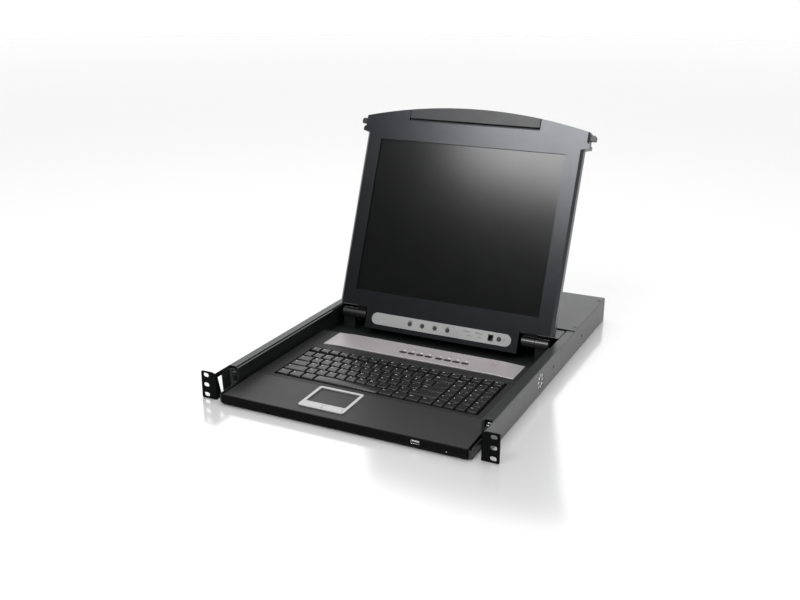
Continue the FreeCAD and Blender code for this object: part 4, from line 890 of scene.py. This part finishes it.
rear_face, contact_height = 0.608, 0.0020
port_places = solid_boxes("computer_ports").mean(axis=1)
port_places[:, 1] = rear_face
behind = ((-1, 0, 0), (0, 0, 1), (0, 1, 0))
shell = one_stack((d_outline(0.0082 - inset, 0.0040 - inset, 0.2, 0.0012), height)
                  for inset, height in ((0.0, -0.0015), (0.0, 0.0047), (0.00015, 0.005),
                                        (0.0006, 0.005), (0.0006, 0.0011)))
insulator = one_stack((d_outline(0.0074, 0.0032, 0.2, 0.0008), height)
                      for height in (-0.0015, contact_height))
plate = one_stack((rounded_outline(0.01525 - inset, 0.0062 - inset, 0.001), height)
                  for inset, height in ((0.0, -0.0089), (0.0, -0.0018), (0.0002, -0.0016)))
contact_grid = np.array([((column - 2) * 0.0023 + (row == 1) * 0.0006, (row - 1) * 0.002,
                          contact_height) for row in range(3) for column in range(5)])
post_places = np.array([(-0.0125, 0.0, -0.0017), (0.0125, 0.0, -0.0017)])


def at_ports(shape):
    """One copy of a shape, drawn facing +Z, at each rear connector, facing backwards."""
    return copies(shape, port_places, *behind)


make_piece("port_shells", at_ports(join_parts(plate, shell)), plated_steel, "chassis",
           slot_of["computer_ports"], ("computer_ports",))
make_piece("port_insulators", at_ports(insulator), insulator_blue, "chassis",
           "inner_parts")
make_piece("port_contacts", at_ports(cups(contact_grid, 0.00055, 0.00035, 0.0002, 0.0008)),
           contact_gold, "chassis", "inner_parts")
make_piece("port_posts", at_ports(cups(post_places, 0.0026, 0.0012, 0.0055, 0.004, around=6)),
           bright_steel, "chassis", "zinc_steel")

# %% Inlet blades, front port contacts, lamp and rocker marks
inlet_low, inlet_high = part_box("power_inlet")
inlet_x, inlet_z = (inlet_low[0] + inlet_high[0]) / 2, (inlet_low[2] + inlet_high[2]) / 2
blade = one_stack((rounded_outline(0.0011 - inset, 0.0021 - inset, 0.0004), height)
                  for inset, height in ((0.0, 0.0), (0.0, 0.0155), (0.0006, 0.0165)))
socket_floor = 0.5915
blade_places = [(inlet_x + across, socket_floor, inlet_z + rise)
                for across, rise in ((-0.007, -0.001), (0.007, -0.001), (0.0, 0.003))]
make_piece("inlet_blades", copies(blade, blade_places, *behind), bright_steel, "chassis",
           "zinc_steel")

usb_low, usb_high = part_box("usb_port")
contact = rounded_outline(0.0005, 0.0045, 0.0003)
usb_x, tongue = (usb_low[0] + usb_high[0]) / 2, (usb_low[2] + usb_high[2]) / 2
contact_pitch, contact_place = 0.0022, -0.0052
contact_places = [(usb_x + step * contact_pitch, contact_place, tongue)
                  for step in (-1.5, -0.5, 0.5, 1.5)]
make_piece("front_port_contacts", copies(one_stack([(contact, 0.0), (contact, 0.0003)]),
                                         contact_places, (1, 0, 0), (0, -1, 0), (0, 0, -1)),
           contact_gold, "drawer", "zinc_steel")

lamp_hole, lamp_foot, lamp_level = 0.169, -0.008, -0.01565
lens = one_stack((circle(radius, 16), height)
                 for radius, height in ((0.0009, 0.0), (0.0009, 0.0036), (0.0006, 0.0039)))
make_piece("front_lamp", copies(lens, [(lamp_hole, lamp_foot, lamp_level)], (1, 0, 0), (0, 0, 1),
                                (0, -1, 0)), pale_lens, "drawer", "trim_plastic")

rocker_low, rocker_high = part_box("power_rocker")
rocker_x, sign_size = (rocker_low[0] + rocker_high[0]) / 2, 0.0042
dent = (rocker_high[1] - 0.002, inlet_z)    # where the two halves of its face meet, as (y, z)


def on_rocker(start, finish, half_word):
    """Lay a word on the sloping face between two (y, z) places of the rocker."""
    start, finish = np.array([0.0, *start]), np.array([0.0, *finish])
    along = (finish - start) / np.linalg.norm(finish - start)
    above = np.cross((-1.0, 0.0, 0.0), along)
    middle = (start + finish) / 2 + (rocker_x + half_word, 0.0, 0.0)
    return lambda points: placed(points, middle, (-1.0, 0.0, 0.0), along, above)


legend_piece("rocker_marks", [
    ("O", sign_size, on_rocker(dent, (rocker_high[1], rocker_high[2]), 0.0015)),
    ("I", sign_size, on_rocker((rocker_high[1] - 0.0008, rocker_low[2]), dent, 0.0003))],
    legend_ink, "power_rocker", "black_parts")

# %% [markdown]
# ## The vent rosettes
# Eight petal-shaped holes are punched in each side, with the slide behind them. Each hole gets a
# pale steel petal that rises from the inner face of the side into the hole. It is paler than the
# slide's zinc and sits out of the recess's shade: painted light. A petal is an outline of five
# corners with a point between each two, and it rises in three steps to a low crown. Seven more are
# turned copies.

# %% Pale petals in the rosette holes, painted light
hub_radius, wide_radius, tip_radius, petal_half = 0.0047, 0.0113, 0.0131, 0.003
rosette_back, behind_face = 0.238, 0.00145    # from the ears, and in from the chassis side
five = np.array([(-petal_half * 0.4, hub_radius), (petal_half * 0.4, hub_radius),
                 (petal_half, wide_radius), (0.0, tip_radius), (-petal_half, wide_radius)])
petal = np.stack([five, (five + np.roll(five, -1, axis=0)) / 2], axis=1).reshape(-1, 2)
petal_middle = petal.mean(axis=0)
petal_rings = np.stack([at_height((petal - petal_middle) * scale + petal_middle, height)
                        for scale, height in ((1.0, 0.0), (1.0, 0.0007), (0.8, 0.001))])
petal_turns = [np.array([(cos(a), sin(a), 0), (-sin(a), cos(a), 0), (0, 0, 1)])
               for a in np.arange(8) * pi / 4]
petals = np.stack([petal_rings @ turn for turn in petal_turns])
rosette = closed_stack(petals)
for side, name in ((-1, "left"), (1, "right")):
    face_in = side * (abs(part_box("side_channel_" + name)[side > 0][0]) - behind_face)
    shown = copies(rosette, [(face_in, rosette_back, 0.0)], (0, side, 0), (0, 0, 1), (side, 0, 0))
    make_piece("vent_petals_" + name, shown, petal_painted_light, "chassis", "zinc_steel")

# %% [markdown]
# ## Balls in the slides
# A ball slide runs on two rows of small steel balls in each race, held apart by a thin strip.
# The strips are made as long rounded bars, and a ball is a stack of circles whose radius
# follows half a circle. The balls have only a few faces, because there are so many.

# %% Balls and retainers
ball_pitch, first_ball = 0.008, 0.004
ball_angles = np.linspace(radians(-66), radians(66), 5)
for side in ("left", "right"):
    node = "ball_cage_" + side
    parts = []
    for box in solid_boxes(node):
        middle, size = box.mean(axis=0), box[1] - box[0]
        radius = min(size[0], size[2]) / 2
        count = int(size[1] // ball_pitch)
        centres = np.stack([np.full(count, middle[0]),
                            box[0, 1] + first_ball + np.arange(count) * ball_pitch,
                            np.full(count, middle[2])], axis=-1)
        ball = np.stack([at_height(circle(radius, 8) * cos(a), radius * sin(a))
                         for a in ball_angles])
        parts.append(closed_stack(centres[:, None, None, :] + ball[None]))
        bar = rounded_outline(size[0] * 0.18, size[2] * 0.46, 0.0002, 3)
        parts.append(copies(one_stack([(bar, 0.0), (bar, size[1])]),
                            [(middle[0], box[0, 1], middle[2])], *behind))
    make_piece("slide_balls_" + side, join_parts(*parts), bright_steel, body_name(node),
               slot_of[node], (node,))

# %% [markdown]
# ## The pieces that stay as measured
# The two circuit boards are flat sheets with sharp edges, so they keep their measured shapes
# and only get their finish.

# %% Put the finish on
for name in ("display_board", "switch_board"):
    nodes[name].data.materials.clear()
    nodes[name].data.materials.append(board_green)
print("two circuit boards painted green")

# %% [markdown]
# ## The studio
# The floor is plain and pale, with a little gloss for a soft reflection under the object.
# Black paint only shows its shape by what it reflects, so the lights are wide soft panels.
# The surroundings are white behind and dark in front, which keeps the screen deep black, and a
# pale band runs all round just above the floor, so the floor looks pale from every side.

# %% Floor and lights
floor_level = measured_low.z - 0.0002
floor_mesh = bpy.data.meshes.new("studio_floor")
corners = np.array([(-1, -1, 0), (1, -1, 0), (1, 1, 0), (-1, 1, 0)]) * 40.0
corners[:, 2] = floor_level
floor_mesh.from_pydata(corners.tolist(), [], [(0, 1, 2, 3)])
floor = bpy.data.objects.new("studio_floor", floor_mesh)
bpy.context.collection.objects.link(floor)
floor_paint = textured("studio_floor", (0.43, 0.43, 0.43), (0.427, 0.427, 0.427), (0.155, 0.157),
                       grains=300.0, depth=0.0, patches=3.0, IOR=2.5, Specular_IOR_Level=0.85)
floor_mesh.materials.append(floor_paint)


def soft_panel(name, place, aim, width, height, power):
    """A rectangular lamp at a place, turned so that it faces the aim."""
    data = bpy.data.lights.new(name, "AREA")
    data.shape = "RECTANGLE"
    data.size, data.size_y, data.energy = width, height, power
    lamp = bpy.data.objects.new(name, data)
    bpy.context.collection.objects.link(lamp)
    lamp.location = place
    lamp.rotation_euler = (Vector(aim) - Vector(place)).to_track_quat("-Z", "Y").to_euler()


soft_panel("overhead_panel", (0.2, 0.5, 2.4), (0.0, 0.3, 0.0), 2.4, 1.8, 50)
soft_panel("front_panel", (-0.33, -1.5, 1.95), (0.05, 0.4, 0.25), 1.3, 1.05, 52)
world = bpy.data.worlds.new("studio_world")
world.use_nodes = True
direction, brighter = add_node(world, "TexCoord"), add_node(world, "Math")
brighter.operation = "MAXIMUM"
axes = add_node(world, "SeparateXYZ")
wire(world, direction.outputs["Generated"], axes.inputs["Vector"])
for slot, axis, low, high, start, finish in ((0, "Y", -0.85, 0.15, 0.03, 1.4),
                                             (1, "Z", 0.04, 0.26, 1.3, 0.0)):
    ramp = add_node(world, "MapRange", From_Min=low, From_Max=high, To_Min=start, To_Max=finish)
    ramp.interpolation_type = "SMOOTHSTEP"
    wire(world, axes.outputs[axis], ramp.inputs["Value"])
    wire(world, ramp.outputs["Result"], brighter.inputs[slot])
sky = world.node_tree.nodes["Background"]
wire(world, brighter.outputs[0], sky.inputs["Strength"])
sky.inputs["Color"].default_value = (1.0, 1.0, 1.0, 1.0)
bpy.context.scene.world = world
print("studio lit with", len(bpy.data.lights), "panels")
